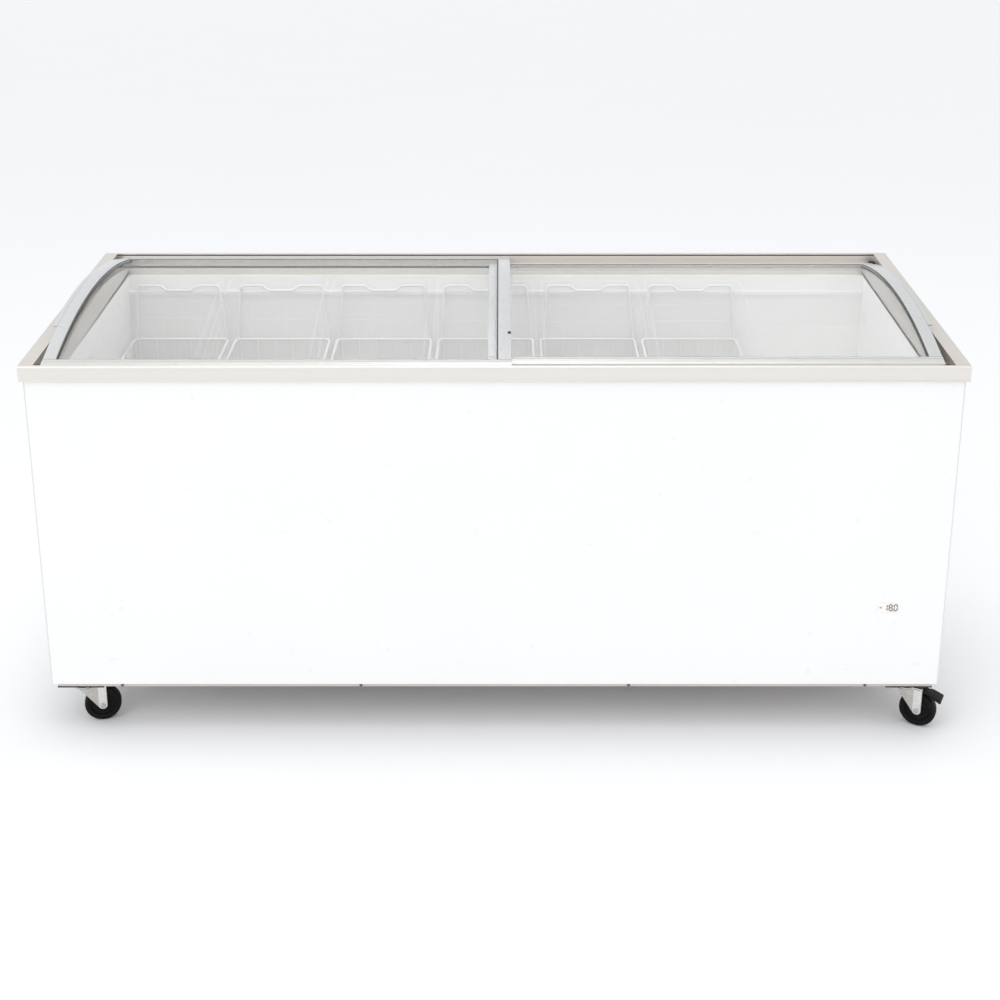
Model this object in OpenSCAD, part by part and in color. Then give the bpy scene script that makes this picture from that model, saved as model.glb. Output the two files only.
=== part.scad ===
// Chest freezer with two bowed glass lids that slide past each other.
// X runs along the length, the front faces -Y, Z is up from the floor.
// The origin lies on the floor under the middle of the top frame.

/* [Overall] */
// Length over the top frame
frame_len = 1850; // [1540:10:2220]
// Depth over the top frame
frame_dep = 645; // [540:5:774]
// Height of the top frame at the front
front_top = 793; // [665:1:950]
// Rise of the top frame from front to back
frame_rise = 85; // [70:1:102]

/* [Cabinet] */
// How far the frame stands out past the cabinet all round
frame_lip = 7; // [5:0.5:9]
// Sheet thickness of the outer cabinet
sheet = 1; // [0.8:0.1:1.5]
// Sheet thickness of the inner liner
liner_sheet = 1; // [0.8:0.1:1.5]
// Insulation thickness of the walls and floor
foam_t = 58; // [48:1:70]
// Height of the base pan
pan_h = 7; // [6:0.5:12]
// How far the base pan stands back from the cabinet faces
pan_inset = 13; // [10:1:20]

/* [Step and machine room] */
// Length of the raised step at the right end of the tub
step_len = 284; // [240:2:300]
// Height of the step above the tub floor
step_h = 340; // [300:5:400]

/* [Top frame] */
// Height of the face of the top frame
rail_h = 32; // [28:1:38]
// Thickness of the lip on the front and rear rails
lip_t = 8.5; // [7:0.5:10]
// Width of each lid track
track_w = 24; // [22:0.5:28]
// Width of the side rails' outer ridge
ridge_w = 29; // [25:1:34]
// Wall of the hollow frame sections
rail_wall = 2.5; // [2:0.1:3]

/* [Lids] */
// Rise of the lid arc above its chord
lid_bow = 43; // [36:1:51]
// Thickness of the lid frames
lid_t = 9; // [8:0.5:10]
// Thickness of the lid glass
glass_t = 4; // [3.5:0.1:5]
// Radial gap between the two lids
lid_gap = 2; // [1.5:0.5:3]
// Overlap of the two lids when closed
lid_overlap = 48; // [40:1:57]
// How far the meeting line lies right of the middle
meet_x = 10; // [-12:1:12]
// Width of the outer end frames
end_frame_w = 26; // [22:1:31]
// Width of the frames that meet in the middle
mid_frame_w = 27; // [23:1:32]
// How far the grip flange stands out
grip_w = 9; // [7:0.5:10]
// Length of the lid end frame in front of the grip flange
grip_front = 104; // [86:1:124]
// Running gap of a lid in its track
lid_run = 0.3; // [0.2:0.05:0.5]

/* [Baskets] */
// Number of hanging baskets
basket_count = 6; // [4:1:6]
// Gap between neighbouring baskets
basket_gap = 10; // [8:1:14]
// Height of the basket floor above the tub floor
basket_floor = 262; // [220:1:290]
// Drop of the basket rim below the liner ledge
basket_drop = 112; // [95:1:130]
// Diameter of the rim and loop wire
rim_wire = 6; // [5:0.5:7]
// Diameter of the mesh wire
mesh_wire = 3; // [2.5:0.1:3.6]

/* [Castors] */
// Diameter of a castor wheel
wheel_d = 75; // [70:1:80]
// Height of a castor above its wheel, up to the base pan
castor_head = 21; // [18:1:25]
// Width of a castor wheel
wheel_w = 24; // [20:1:28]
// Distance from the swivel axis to the axle
trail = 32; // [28:1:36]
// Distance of the swivel axes from the ends of the frame
castor_in_x = 66; // [60:1:78]
// Distance of the swivel axes from the front and rear of the frame
castor_in_y = 41; // [40:1:50]
// Radial running clearance of pins in their bores
pin_run = 0.05; // [0.03:0.01:0.08]

/* [Hidden] */
$fn = 48;

// Cabinet faces and levels
half_l = frame_len / 2;
half_d = frame_dep / 2;
cab_x = half_l - frame_lip;
cab_y = half_d - frame_lip;
base_z = wheel_d + castor_head;
cab_bottom = base_z + pan_h;
slope = frame_rise / frame_dep;
tub_x = cab_x - sheet - foam_t - liner_sheet;
tub_y = cab_y - sheet - foam_t - liner_sheet;
tub_floor = cab_bottom + foam_t + liner_sheet;
step_x = tub_x - step_len;
step_z = tub_floor + step_h;
room_x = step_x + foam_t;
room_top = step_z - foam_t;

// Height of the top frame's straight upper line, and of the cabinet's cut under it
function frame_z(y) = front_top + slope * (y + half_d);
function cut_z(y) = frame_z(y) - rail_h;

// The lid arc: both lids turn about one centre line along X
arc_front = [-half_d + lip_t + track_w + 5, front_top - 3];
arc_back = [half_d - lip_t - track_w - 4, front_top + frame_rise - 18];
arc_chord = norm(arc_back - arc_front);
arc_tilt = atan2(arc_back[1] - arc_front[1], arc_back[0] - arc_front[0]);
lower_top_r = arc_chord * arc_chord / (8 * lid_bow) + lid_bow / 2;
arc_mid = (arc_front + arc_back) / 2;
arc_y = arc_mid[0] + (lower_top_r - lid_bow) * sin(arc_tilt);
arc_z = arc_mid[1] - (lower_top_r - lid_bow) * cos(arc_tilt);
upper_top_r = lower_top_r + lid_t + lid_gap;
function arc_at(r, y) = arc_z + sqrt(r * r - (y - arc_y) * (y - arc_y));

// Lid bars run in tracks: the upper lid in the outer pair, the lower lid in the inner pair
upper_track = half_d - lip_t;
lower_track = upper_track - track_w;
track_end = lower_track - track_w;
inner_lip = 3.5;
rail_edge = track_end - inner_lip;
bar_w = track_w - 3;
front_upper_floor = front_top - 12;
front_lower_floor = front_top - 19;
rear_upper_floor = arc_at(upper_top_r, upper_track) - lid_t - 3;
rear_lower_floor = arc_at(lower_top_r, lower_track) - lid_t - 3;
track_x = half_l - ridge_w;
glass_lift = (lid_t - glass_t) / 2;
glass_fit = 0.2;

// Lid spans when closed
lid_end = track_x - grip_w - 3;
upper_right = meet_x + lid_overlap / 2;
lower_left = meet_x - lid_overlap / 2;

// A piece that is drawn in the Y-Z plane and runs along X
module along_x(x0, x1) {
    translate([x0, 0, 0]) rotate([90, 0, 90]) linear_extrude(x1 - x0) children();
}

// A block between two corners
module block(low, high) {
    translate(low) cube(high - low);
}

// A ring sector about the lid arc's centre line, in the Y-Z plane, cut off at y0 and y1
module arc_band(r0, r1, y0, y1) {
    intersection() {
        translate([arc_y, arc_z]) difference() {
            circle(r1, $fn = 360);
            circle(r0, $fn = 360);
        }
        translate([y0, arc_z]) square([y1 - y0, r1 + 1]);
    }
}

// The side view of the cabinet between y0 and y1, from z0 up to d under the cut
module side_view(y0, y1, z0, d = 0) {
    polygon([[y0, z0], [y1, z0], [y1, cut_z(y1) - d], [y0, cut_z(y0) - d]]);
}

module cabinet_block(x0, x1, y, z0) {
    along_x(x0, x1) side_view(-y, y, z0);
}

// Front and end panels of the outer cabinet, one folded sheet
module outer_shell() color("white") difference() {
    cabinet_block(-cab_x, cab_x, cab_y, cab_bottom);
    along_x(-cab_x + sheet, cab_x - sheet) side_view(-cab_y + sheet, cab_y + 1, cab_bottom - 1, -1);
    translate([display_x, -cab_y - 1, display_z]) rotate([-90, 0, 0])
        linear_extrude(sheet + 2) square([window_w + 4, window_h + 4], center = true);
    block([cab_x - sheet - 1, -grille_w / 2, grille_z], [cab_x + 1, grille_w / 2, grille_z + grille_h]);
}

// Rear panel, a flat sheet inside the end panels
module rear_panel() color("gainsboro") difference() {
    along_x(-cab_x + sheet, cab_x - sheet) side_view(cab_y - sheet, cab_y, cab_bottom);
    block([room_mid - grille_w / 2, cab_y - sheet - 1, grille_z],
          [room_mid + grille_w / 2, cab_y + 1, grille_z + grille_h]);
    translate([inlet_x, cab_y + 1, inlet_z]) rotate([90, 0, 0]) cylinder(r = inlet_r, h = sheet + 2);
}

// The tub: white liner with a raised step at its right end
module tub_volume(g, top) {
    difference() {
        along_x(-tub_x - g, tub_x + g) side_view(-tub_y - g, tub_y + g, tub_floor - g, -top);
        block([step_x + g, -tub_y - g - 1, tub_floor - g - 1], [tub_x + g + 1, tub_y + g + 1, step_z - g]);
    }
}

// The liner is folded from six sheets, which meet in thin seams: two long walls, two end walls,
// the floor and the step. A ledge strip along each long wall holds the basket loops
seam = 0.1;
ledge_drop = 36;
ledge_t = 9;
ledge_w = 6;
function ledge_z(y) = cut_z(y) - ledge_drop;

module liner_sheets() difference() {
    intersection() {
        tub_volume(liner_sheet, 0);
        cabinet_block(-cab_x, cab_x, cab_y, 0);
    }
    tub_volume(0, 2);
    drain_hole();
}
module inner_liner() color("white") {
    inner_y = tub_y - seam;
    under = tub_floor - liner_sheet - 1;
    over = cut_z(cab_y);
    for (side = [-1, 1]) {
        y0 = side * tub_y;
        y1 = side * inner_y;
        z1 = ledge_z(y0);
        intersection() {
            liner_sheets();
            block([-cab_x, min(y0, side * cab_y), under], [cab_x, max(y0, side * cab_y), over]);
        }
        block([-tub_x + seam, min(y1, y1 - side * ledge_w), z1 - ledge_t],
              [tub_x - seam, max(y1, y1 - side * ledge_w), z1]);
    }
    intersection() {
        liner_sheets();
        union() {
            block([-cab_x, -inner_y, under], [-tub_x, inner_y, over]);
            block([-tub_x + seam, -inner_y, under], [step_x - seam, inner_y, tub_floor]);
            block([step_x, -inner_y, under], [tub_x - seam, inner_y, step_z]);
            block([tub_x, -inner_y, under], [cab_x, inner_y, over]);
        }
    }
}

// Drain through the tub floor at the left, down through the base pan
drain_x = -tub_x + 120;
drain_y = tub_y - 90;
drain_r = 8;
drain_wall = 2;
drain_foot = 24;
drain_fit = 0.2;
pan_sheet = 1.2;
pan_back = 3;

module drain_hole(g = 0) {
    translate([drain_x, drain_y, base_z - 1]) cylinder(r = drain_r + g, h = foam_t + pan_h + 10);
}

// Foam fills the space between the shell and the liner, with grooves for the evaporator tube
module insulation_foam() color("khaki") difference() {
    along_x(-cab_x + sheet, cab_x - sheet) side_view(-cab_y + sheet, cab_y - sheet, cab_bottom, seam);
    tub_volume(liner_sheet, 2);
    machine_room();
    for (i = [0:evap_turns - 1]) evap_loop(i, true);
    drain_hole(drain_fit);
}

// The room for the cooling unit under the step
module machine_room() {
    block([room_x, -cab_y, cab_bottom - 1], [cab_x, cab_y, room_top]);
}

// Base pan: a shallow steel tray with an upturned edge, and a floor under the machine room
module base_pan() color("rosybrown") difference() {
    pan_x = cab_x - pan_inset;
    pan_y = cab_y - pan_back;
    block([-pan_x, -pan_y, base_z], [pan_x, pan_y, cab_bottom]);
    block([-pan_x + pan_sheet, -pan_y + pan_sheet, base_z + pan_sheet],
          [pan_x - pan_sheet, pan_y - pan_sheet, cab_bottom + 1]);
    drain_hole(drain_fit);
}

// Screws along the front edge of the base pan
screw_head_r = 3.2;
screw_head_t = 1.6;
screw_in_left = 152.625;
screw_in_right = 157.25;
screw_mid_x = 277.5;
module base_screws() color("dimgray")
    for (x = [screw_in_left - half_l, -screw_mid_x, screw_mid_x, half_l - screw_in_right])
    translate([x, -cab_y + pan_back, base_z + pan_h / 2]) rotate([90, 0, 0])
        cylinder(r = screw_head_r, h = screw_head_t);

// Front rail: lip with a rounded nose and two hollow lid tracks
nose_r = 3.5;
module front_rail() color("silver") {
    along_x(-half_l, half_l) difference() {
        union() {
            polygon([[-half_d, cut_z(-half_d)], [-upper_track, cut_z(-upper_track)],
                     [-upper_track, front_top], [-half_d + nose_r, front_top],
                     [-half_d, front_top - nose_r]]);
            translate([-half_d + nose_r, front_top - nose_r]) circle(nose_r);
        }
        translate([-half_d + rail_wall, cut_z(-upper_track) + rail_wall])
            square([lip_t - 2 * rail_wall, rail_h - 2 * rail_wall - 2]);
    }
    along_x(-track_x, track_x) difference() {
        polygon([[-upper_track, cut_z(-upper_track)], [-rail_edge, cut_z(-rail_edge)],
                 [-rail_edge, front_lower_floor + 8], [-track_end, front_lower_floor + 8],
                 [-track_end, front_lower_floor], [-lower_track, front_lower_floor],
                 [-lower_track, front_upper_floor], [-upper_track, front_upper_floor]]);
        translate([-upper_track + rail_wall, cut_z(-lower_track) + rail_wall])
            square([track_w - 2 * rail_wall, front_upper_floor - cut_z(-lower_track) - 2 * rail_wall]);
    }
}

// Rear rail: the same idea, taller at the back
module rear_rail() color("silver") {
    along_x(-half_l, half_l) difference() {
        polygon([[upper_track, cut_z(upper_track)], [half_d, cut_z(half_d)],
                 [half_d, frame_z(half_d) - 1.5], [half_d - 1.5, frame_z(half_d)],
                 [upper_track, frame_z(half_d)]]);
        translate([upper_track + rail_wall, cut_z(half_d) + rail_wall])
            square([lip_t - 2 * rail_wall, rail_h - 2 * rail_wall - 2]);
    }
    along_x(-track_x, track_x) polygon([
        [rail_edge, cut_z(rail_edge)], [upper_track, cut_z(upper_track)],
        [upper_track, rear_upper_floor], [lower_track, rear_upper_floor],
        [lower_track, rear_lower_floor], [track_end, rear_lower_floor],
        [track_end, rear_lower_floor + 5], [rail_edge, rear_lower_floor + 5]]);
}

// Side rail: a hollow sloping ridge outside the lids, a lower ledge beside the tub,
// and a bowed end wall on the ledge that fills the space under the lid
side_ledge_drop = 24;
end_wall_t = 3;
end_wall_gap = 2.5;
module side_rail() {
    along_x(track_x, half_l)
        polygon([[-upper_track, cut_z(-upper_track)], [upper_track, cut_z(upper_track)],
                 [upper_track, frame_z(upper_track)], [-upper_track, frame_z(-upper_track)]]);
    along_x(tub_x, track_x) polygon([
        [-rail_edge, cut_z(-rail_edge)], [rail_edge, cut_z(rail_edge)],
        [rail_edge, frame_z(rail_edge) - side_ledge_drop],
        [-rail_edge, frame_z(-rail_edge) - side_ledge_drop]]);
    along_x(tub_x, tub_x + end_wall_t) intersection() {
        translate([arc_y, arc_z]) circle(lower_top_r - lid_t - end_wall_gap, $fn = 360);
        polygon([[-rail_edge, frame_z(-rail_edge) - rail_h], [rail_edge, frame_z(rail_edge) - rail_h],
                 [rail_edge, frame_z(rail_edge) + lid_bow], [-rail_edge, frame_z(-rail_edge) + lid_bow]]);
    }
}
module side_rail_hollow() difference() {
    side_rail();
    along_x(track_x + rail_wall, half_l - rail_wall) polygon([
        [-upper_track + rail_wall, cut_z(-upper_track) + rail_wall],
        [upper_track - rail_wall, cut_z(upper_track) + rail_wall],
        [upper_track - rail_wall, frame_z(upper_track) - rail_wall],
        [-upper_track + rail_wall, frame_z(-upper_track) - rail_wall]]);
}
module right_side_rail() color("silver") side_rail_hollow();
module left_side_rail() color("silver") mirror([1, 0, 0]) side_rail_hollow();

// Rubber buffers in the track ends that stop the lids
buffer_gap = 0.5;
buffer_l = grip_w + 3 - buffer_gap;
buffer_x = track_x - buffer_l;
module frame_bumpers() color("dimgray") for (side = [-1, 1]) {
    x0 = side > 0 ? buffer_x : -track_x;
    block([x0, -upper_track + 4, front_upper_floor], [x0 + buffer_l, -lower_track - 4, front_upper_floor + 6]);
    block([x0, -lower_track + 4, front_lower_floor], [x0 + buffer_l, -track_end - 4, front_lower_floor + 6]);
    block([x0, lower_track + 4, rear_upper_floor], [x0 + buffer_l, upper_track - 4, rear_upper_floor + 6]);
    block([x0, track_end + 4, rear_lower_floor], [x0 + buffer_l, lower_track - 4, rear_lower_floor + 6]);
}

// Temperature display low on the front, at the machine room
window_w = 44;
window_h = 22;
bezel_rim = 4;
bezel_out = 1.2;
board_w = 60;
board_h = 34;
board_depth = 12;
display_x = half_l - 123;
display_z = base_z + 181;

module display_frame(w, h, d) {
    rotate([90, 0, 0]) linear_extrude(d) square([w, h], center = true);
}
module display_bezel() color("white") translate([display_x, -cab_y, display_z]) difference() {
    display_frame(window_w + 2 * bezel_rim, window_h + 2 * bezel_rim, bezel_out);
    translate([0, 1, 0]) display_frame(window_w, window_h, bezel_out + 2);
}
module display_window() color("lightgray") translate([display_x, -cab_y + sheet, display_z])
    display_frame(window_w - 0.4, window_h - 0.4, sheet + bezel_out - 0.2);
module display_board() color("darkgreen") translate([display_x, -cab_y + sheet + board_depth, display_z])
    display_frame(board_w, board_h, board_depth);

// Louvred grilles on the right end and the rear of the machine room
grille_w = 220;
grille_h = 190;
grille_z = base_z + 60;
grille_t = 3;
grille_border = 9;
grille_out = 2;
slot_count = 9;
room_mid = (room_x + cab_x) / 2;
grille_fit = 0.3;
module grille() {
    pitch = grille_h / slot_count;
    difference() {
        union() {
            translate([-grille_w / 2 + grille_fit, -grille_out, grille_fit])
                cube([grille_w - 2 * grille_fit, grille_t + grille_out, grille_h - 2 * grille_fit]);
            translate([-grille_w / 2 - grille_border, -grille_out, -grille_border])
                cube([grille_w + 2 * grille_border, grille_out, grille_h + 2 * grille_border]);
        }
        for (i = [0:slot_count - 1])
            translate([-grille_w / 2 + grille_border, -grille_out - 1, (i + 0.25) * pitch])
                cube([grille_w - 2 * grille_border, grille_t + grille_out + 2, pitch / 2]);
    }
}
module end_grille() color("whitesmoke") translate([cab_x, 0, grille_z]) rotate([0, 0, 90]) grille();
module rear_grille() color("dimgray") translate([room_mid, cab_y, grille_z]) rotate([0, 0, 180]) grille();

// Compressor on rubber grommets, standing on the base pan
comp_r = 68;
comp_h = 150;
comp_in = 108.68;
comp_x = cab_x - comp_in;
comp_y = cab_y - 150;
comp_dome = 40;
grommet_h = 14;
grommet_r = 11;
grommet_neck_r = 5;
foot_z = base_z + pan_sheet + grommet_h;
foot_t = 3;
foot_span = 70;
foot_edge = 12;
relay_w = 44;
relay_d = 27.5;
relay_h = 60;
module feet() {
    for (sx = [-1, 1], sy = [-1, 1]) translate([comp_x + sx * foot_span, comp_y + sy * foot_span, 0]) children();
}
module compressor() color("black") {
    foot_half = foot_span + foot_edge;
    difference() {
        translate([comp_x - foot_half, comp_y - foot_half, foot_z]) cube([2 * foot_half, 2 * foot_half, foot_t]);
        feet() translate([0, 0, foot_z - 1]) cylinder(r = grommet_neck_r + 0.2, h = foot_t + 2);
    }
    translate([comp_x, comp_y, foot_z + foot_t]) rotate_extrude() {
        square([comp_r, comp_h - comp_dome]);
        translate([0, comp_h - comp_dome]) intersection() {
            circle(comp_r);
            square([comp_r, comp_dome]);
        }
    }
}
module compressor_grommets() color("dimgray") feet() translate([0, 0, base_z + pan_sheet]) {
    cylinder(r = grommet_r, h = grommet_h);
    cylinder(r = grommet_neck_r, h = grommet_h + foot_t + 3);
}
module start_relay_box() color("ivory")
    translate([comp_x - relay_w / 2, comp_y - comp_r - relay_d - 0.5, foot_z + comp_dome])
        cube([relay_w, relay_d, relay_h]);

// Condenser: a serpentine of tubes through fins, upright across the machine room
cond_x = room_x + 30;
cond_y = -cab_y + 60;
cond_w = 200;
cond_z = base_z + pan_sheet + 8;
cond_h = 190;
cond_tubes = 5;
fin_count = 16;
fin_t = 0.8;
fin_d = 36;
pipe_r = 4;
module condenser_coil() color("dimgray") {
    for (i = [0:cond_tubes - 1]) translate([cond_x, cond_y, cond_z + (i + 0.5) * cond_h / cond_tubes])
        rotate([0, 90, 0]) cylinder(r = pipe_r, h = cond_w, $fn = 24);
    for (i = [0:fin_count - 1]) translate([cond_x + (i + 0.5) * cond_w / fin_count, cond_y - fin_d / 2, cond_z - 8])
        cube([fin_t, fin_d, cond_h + 8]);
}

// Fan behind the condenser: bracket ring, motor and a five-bladed fan that turns on the motor shaft
fan_x = cond_x + cond_w / 2;
fan_y = cond_y + 52;
fan_z = cond_z + cond_h / 2;
fan_r = 70;
shaft_r = 3;
shroud_d = 28;
shroud_wall = 15;
motor_r = 28;
motor_l = 40;
motor_y = 36;
stay_w = 12;
stay_t = 3;
blade_count = 5;
blade_w = 32;
blade_t = 2;
blade_pitch = 28;
hub_r = 15;
hub_l = 20;
module along_y() {
    rotate([-90, 0, 0]) children();
}
module fan_bracket() color("dimgray") {
    translate([fan_x, fan_y - shroud_d / 2, fan_z]) along_y() difference() {
        linear_extrude(shroud_d)
            square([2 * (fan_r + shroud_wall), 2 * (fan_z - base_z - pan_sheet)], center = true);
        translate([0, 0, -1]) cylinder(r = fan_r + 6, h = shroud_d + 2);
    }
    for (a = [0, 90]) translate([fan_x, fan_y + motor_y, fan_z]) rotate([0, a, 0]) difference() {
        translate([-fan_r - 10, -stay_t, -stay_w / 2]) cube([2 * fan_r + 20, stay_t, stay_w]);
        translate([0, 1, 0]) rotate([90, 0, 0]) cylinder(r = shaft_r + 1, h = stay_t + 2);
    }
    for (side = [-1, 1]) translate([fan_x + side * (fan_r + 8) - 2, fan_y + shroud_d / 2, fan_z - stay_w / 2])
        cube([4, motor_y - shroud_d / 2 - stay_t, stay_w]);
}
module fan_motor() color("gray") translate([fan_x, fan_y, fan_z]) along_y() {
    translate([0, 0, motor_y]) cylinder(r = motor_r, h = motor_l);
    translate([0, 0, -shroud_d / 2]) cylinder(r = shaft_r, h = motor_y + shroud_d / 2);
}
module fan_blade() color("black") translate([fan_x, fan_y, fan_z]) along_y() difference() {
    union() {
        translate([0, 0, -hub_l / 2]) cylinder(r = hub_r, h = hub_l);
        for (i = [0:blade_count - 1]) rotate([0, 0, i * 360 / blade_count]) translate([hub_r - 3, 0, 0])
            rotate([blade_pitch, 0, 0])
            translate([0, -blade_w / 2, -blade_t / 2]) cube([fan_r - hub_r + 1, blade_w, blade_t]);
    }
    translate([0, 0, -hub_l / 2 - 1]) cylinder(r = shaft_r + pin_run, h = hub_l + 2);
}

// Filter drier beside the condenser
drier_r = 12;
drier_l = 90;
module filter_drier() color("chocolate")
    translate([cond_x - drier_r - 0.1, cond_y, cond_z + 40]) cylinder(r = drier_r, h = drier_l);

// Evaporator: loops of tube round the tub, in grooves in the foam, joined by a header
evap_turns = 5;
evap_pitch = 45;
evap_off = liner_sheet + pipe_r + 2;
evap_bend = 10;
header_x = room_x + 60;
header_y = tub_y + evap_off;
evap_low = step_z + 25;
module tube_loop(r) {
    ex = tub_x + evap_off;
    ey = tub_y + evap_off;
    for (side = [-1, 1]) {
        translate([-ex + evap_bend, side * ey, 0]) rotate([0, 90, 0])
            cylinder(r = r, h = 2 * (ex - evap_bend), $fn = 24);
        translate([side * ex, -ey + evap_bend, 0]) rotate([-90, 0, 0])
            cylinder(r = r, h = 2 * (ey - evap_bend), $fn = 24);
        for (end = [-1, 1]) translate([side * (ex - evap_bend), end * (ey - evap_bend), 0])
            rotate([0, 0, side > 0 ? (end > 0 ? 0 : 270) : (end > 0 ? 90 : 180)])
            rotate_extrude(angle = 90) translate([evap_bend, 0]) circle(r, $fn = 24);
    }
}
module evap_loop(i, groove) {
    z = evap_low + i * evap_pitch;
    g = groove ? 0.2 : 0;
    ex = tub_x + evap_off + pipe_r + 0.2;
    ey = tub_y + evap_off + pipe_r + 0.2;
    if (groove) {
        block([-ex, -ey, z - pipe_r - g], [ex, ey, z + pipe_r + g]);
        translate([header_x, header_y, room_top - 1])
            cylinder(r = pipe_r + 0.4, h = evap_low + evap_pitch * (evap_turns - 1) - room_top + 5);
    } else translate([0, 0, z]) tube_loop(pipe_r);
}
module evaporator_tube() color("chocolate") {
    for (i = [0:evap_turns - 1]) evap_loop(i, false);
    translate([header_x, header_y, room_top - 20])
        cylinder(r = pipe_r - 0.5, h = evap_low + evap_pitch * (evap_turns - 1) - room_top + 20);
}

// Pipework in the machine room: suction line down to the compressor, hot line to the condenser
suction_z = foot_z + 90;
hot_x = cond_x + cond_w + pipe_r;
module elbow(p) {
    translate(p) sphere(r = pipe_r + 1);
}
module refrigerant_pipe() color("chocolate") {
    translate([header_x, header_y, suction_z]) cylinder(r = pipe_r, h = room_top - 20 - suction_z);
    elbow([header_x, header_y, suction_z]);
    translate([header_x, header_y, suction_z]) rotate([0, 90, 0]) cylinder(r = pipe_r, h = comp_x - header_x);
    elbow([comp_x, header_y, suction_z]);
    translate([comp_x, header_y, suction_z]) rotate([90, 0, 0])
        cylinder(r = pipe_r, h = header_y - comp_y - comp_r - 0.1);
    hot_len = comp_y - sqrt(comp_r * comp_r - pow(hot_x - pipe_r - comp_x, 2)) - cond_y;
    translate([hot_x, cond_y, suction_z]) rotate([-90, 0, 0]) cylinder(r = pipe_r, h = hot_len);
    translate([hot_x, cond_y, cond_z + 10]) cylinder(r = pipe_r - 0.5, h = cond_h - 20);
}

// Drain tube from the tub floor, with a stub under the base pan and a plug in the tub
module drain_spout() color("white") translate([drain_x, drain_y, 0]) difference() {
    union() {
        translate([0, 0, base_z - drain_foot]) cylinder(r = drain_r + 1, h = drain_foot - 1);
        translate([0, 0, base_z - drain_foot]) cylinder(r = drain_r, h = tub_floor - base_z + drain_foot);
    }
    translate([0, 0, base_z - drain_foot - 1]) cylinder(r = drain_r - drain_wall, h = tub_floor - base_z + drain_foot + 2);
}
module drain_plug() color("white") translate([drain_x, drain_y, tub_floor]) {
    translate([0, 0, -12]) cylinder(r = drain_r - drain_wall - 0.2, h = 14);
    cylinder(r = drain_r + 6, h = 4);
}

// Inlet for the supply lead, low on the rear
inlet_x = room_mid + grille_w / 2 - 10;
inlet_z = base_z + 28;
inlet_r = 10;
inlet_bore = 4.5;
module cord_inlet() color("black") translate([inlet_x, cab_y, inlet_z]) rotate([90, 0, 0]) difference() {
    union() {
        translate([0, 0, -5]) cylinder(r = inlet_r + 3, h = 5);
        cylinder(r = inlet_r - 0.1, h = 10);
    }
    translate([0, 0, -6]) cylinder(r = inlet_bore, h = 17);
}

// Parts of a lid: top_r is the radius of its frame's top, x0 to x1 its span
module lid_glass(top_r, x0, x1, y_end) {
    r0 = top_r - lid_t + glass_lift;
    along_x(x0 + 9, x1 - 9) arc_band(r0, r0 + glass_t, -y_end, y_end);
}
module glass_slot(top_r, x0, x1, y_end) {
    r0 = top_r - lid_t + glass_lift - glass_fit;
    along_x(x0 + 9 - glass_fit, x1 - 9 + glass_fit)
        arc_band(r0, r0 + glass_t + 2 * glass_fit, -y_end - glass_fit, y_end + glass_fit);
}
// A bar that runs in its track; y_out is the track's outer wall, floor_z its floor
module lid_bar(top_r, x0, x1, y_out, floor_z, side) {
    ya = side > 0 ? y_out - 1.5 - bar_w : -y_out + 1.5;
    difference() {
        along_x(x0, x1) intersection() {
            translate([ya, floor_z + lid_run]) square([bar_w, 60]);
            translate([arc_y, arc_z]) circle(top_r, $fn = 360);
        }
        glass_slot(top_r, x0, x1, y_out - bar_w + 5);
    }
}
// A bowed frame across the lid between its two bars
module lid_cross(top_r, x0, x1, glass0, glass1, y_out) {
    ye = y_out - 1.5 - bar_w - 0.05;
    difference() {
        along_x(x0, x1) arc_band(top_r - lid_t, top_r, -ye, ye);
        glass_slot(top_r, glass0, glass1, y_out);
    }
}
// The outer end frame with its grip flange, which stops short of the front
module lid_end_piece(top_r, x0, x1, side, y_out) {
    g0 = side > 0 ? x1 - 300 : x0;
    g1 = side > 0 ? x1 : x0 + 300;
    ye = y_out - 1.5 - bar_w - 0.05;
    lid_cross(top_r, side > 0 ? x1 - end_frame_w : x0, side > 0 ? x1 : x0 + end_frame_w, g0, g1, y_out);
    along_x(side > 0 ? x1 - 1 : x0 - grip_w, side > 0 ? x1 + grip_w : x0 + 1)
        arc_band(top_r - 4, top_r - 1, -ye + grip_front, ye);
}

// The upper lid closes the left half
upper_x0 = -lid_end;
upper_x1 = upper_right;
module upper_lid_glass() color("lightcyan", 0.4) lid_glass(upper_top_r, upper_x0, upper_x1, upper_track - bar_w + 4);
module upper_lid_front_bar() color("silver")
    lid_bar(upper_top_r, upper_x0, upper_x1, upper_track, front_upper_floor, -1);
module upper_lid_rear_bar() color("silver")
    lid_bar(upper_top_r, upper_x0, upper_x1, upper_track, rear_upper_floor, 1);
module upper_lid_end_frame() color("silver")
    lid_end_piece(upper_top_r, upper_x0, upper_x1, -1, upper_track);
module upper_lid_middle_frame() color("silver") difference() {
    lid_cross(upper_top_r, upper_x1 - mid_frame_w, upper_x1, upper_x0, upper_x1, upper_track);
    lock_place() translate([0, 0, -lid_t - 3]) cylinder(r = lock_r + pin_run, h = lid_t + 5);
}
// Sealing strips under the cross frames of a lid
module lid_strip(top_r, x0, x1, t, y_out) {
    ye = y_out - bar_w - 12;
    along_x(x0, x1) arc_band(top_r - lid_t - t, top_r - lid_t - 0.1, -ye, ye);
}
strip_t = 1.6;
module upper_lid_seal() color("dimgray") {
    lid_strip(upper_top_r, upper_x1 - 8, upper_x1 - 2, strip_t, lower_track);
    lid_strip(upper_top_r, upper_x0 + 2, upper_x0 + 8, strip_t, lower_track);
}

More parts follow.
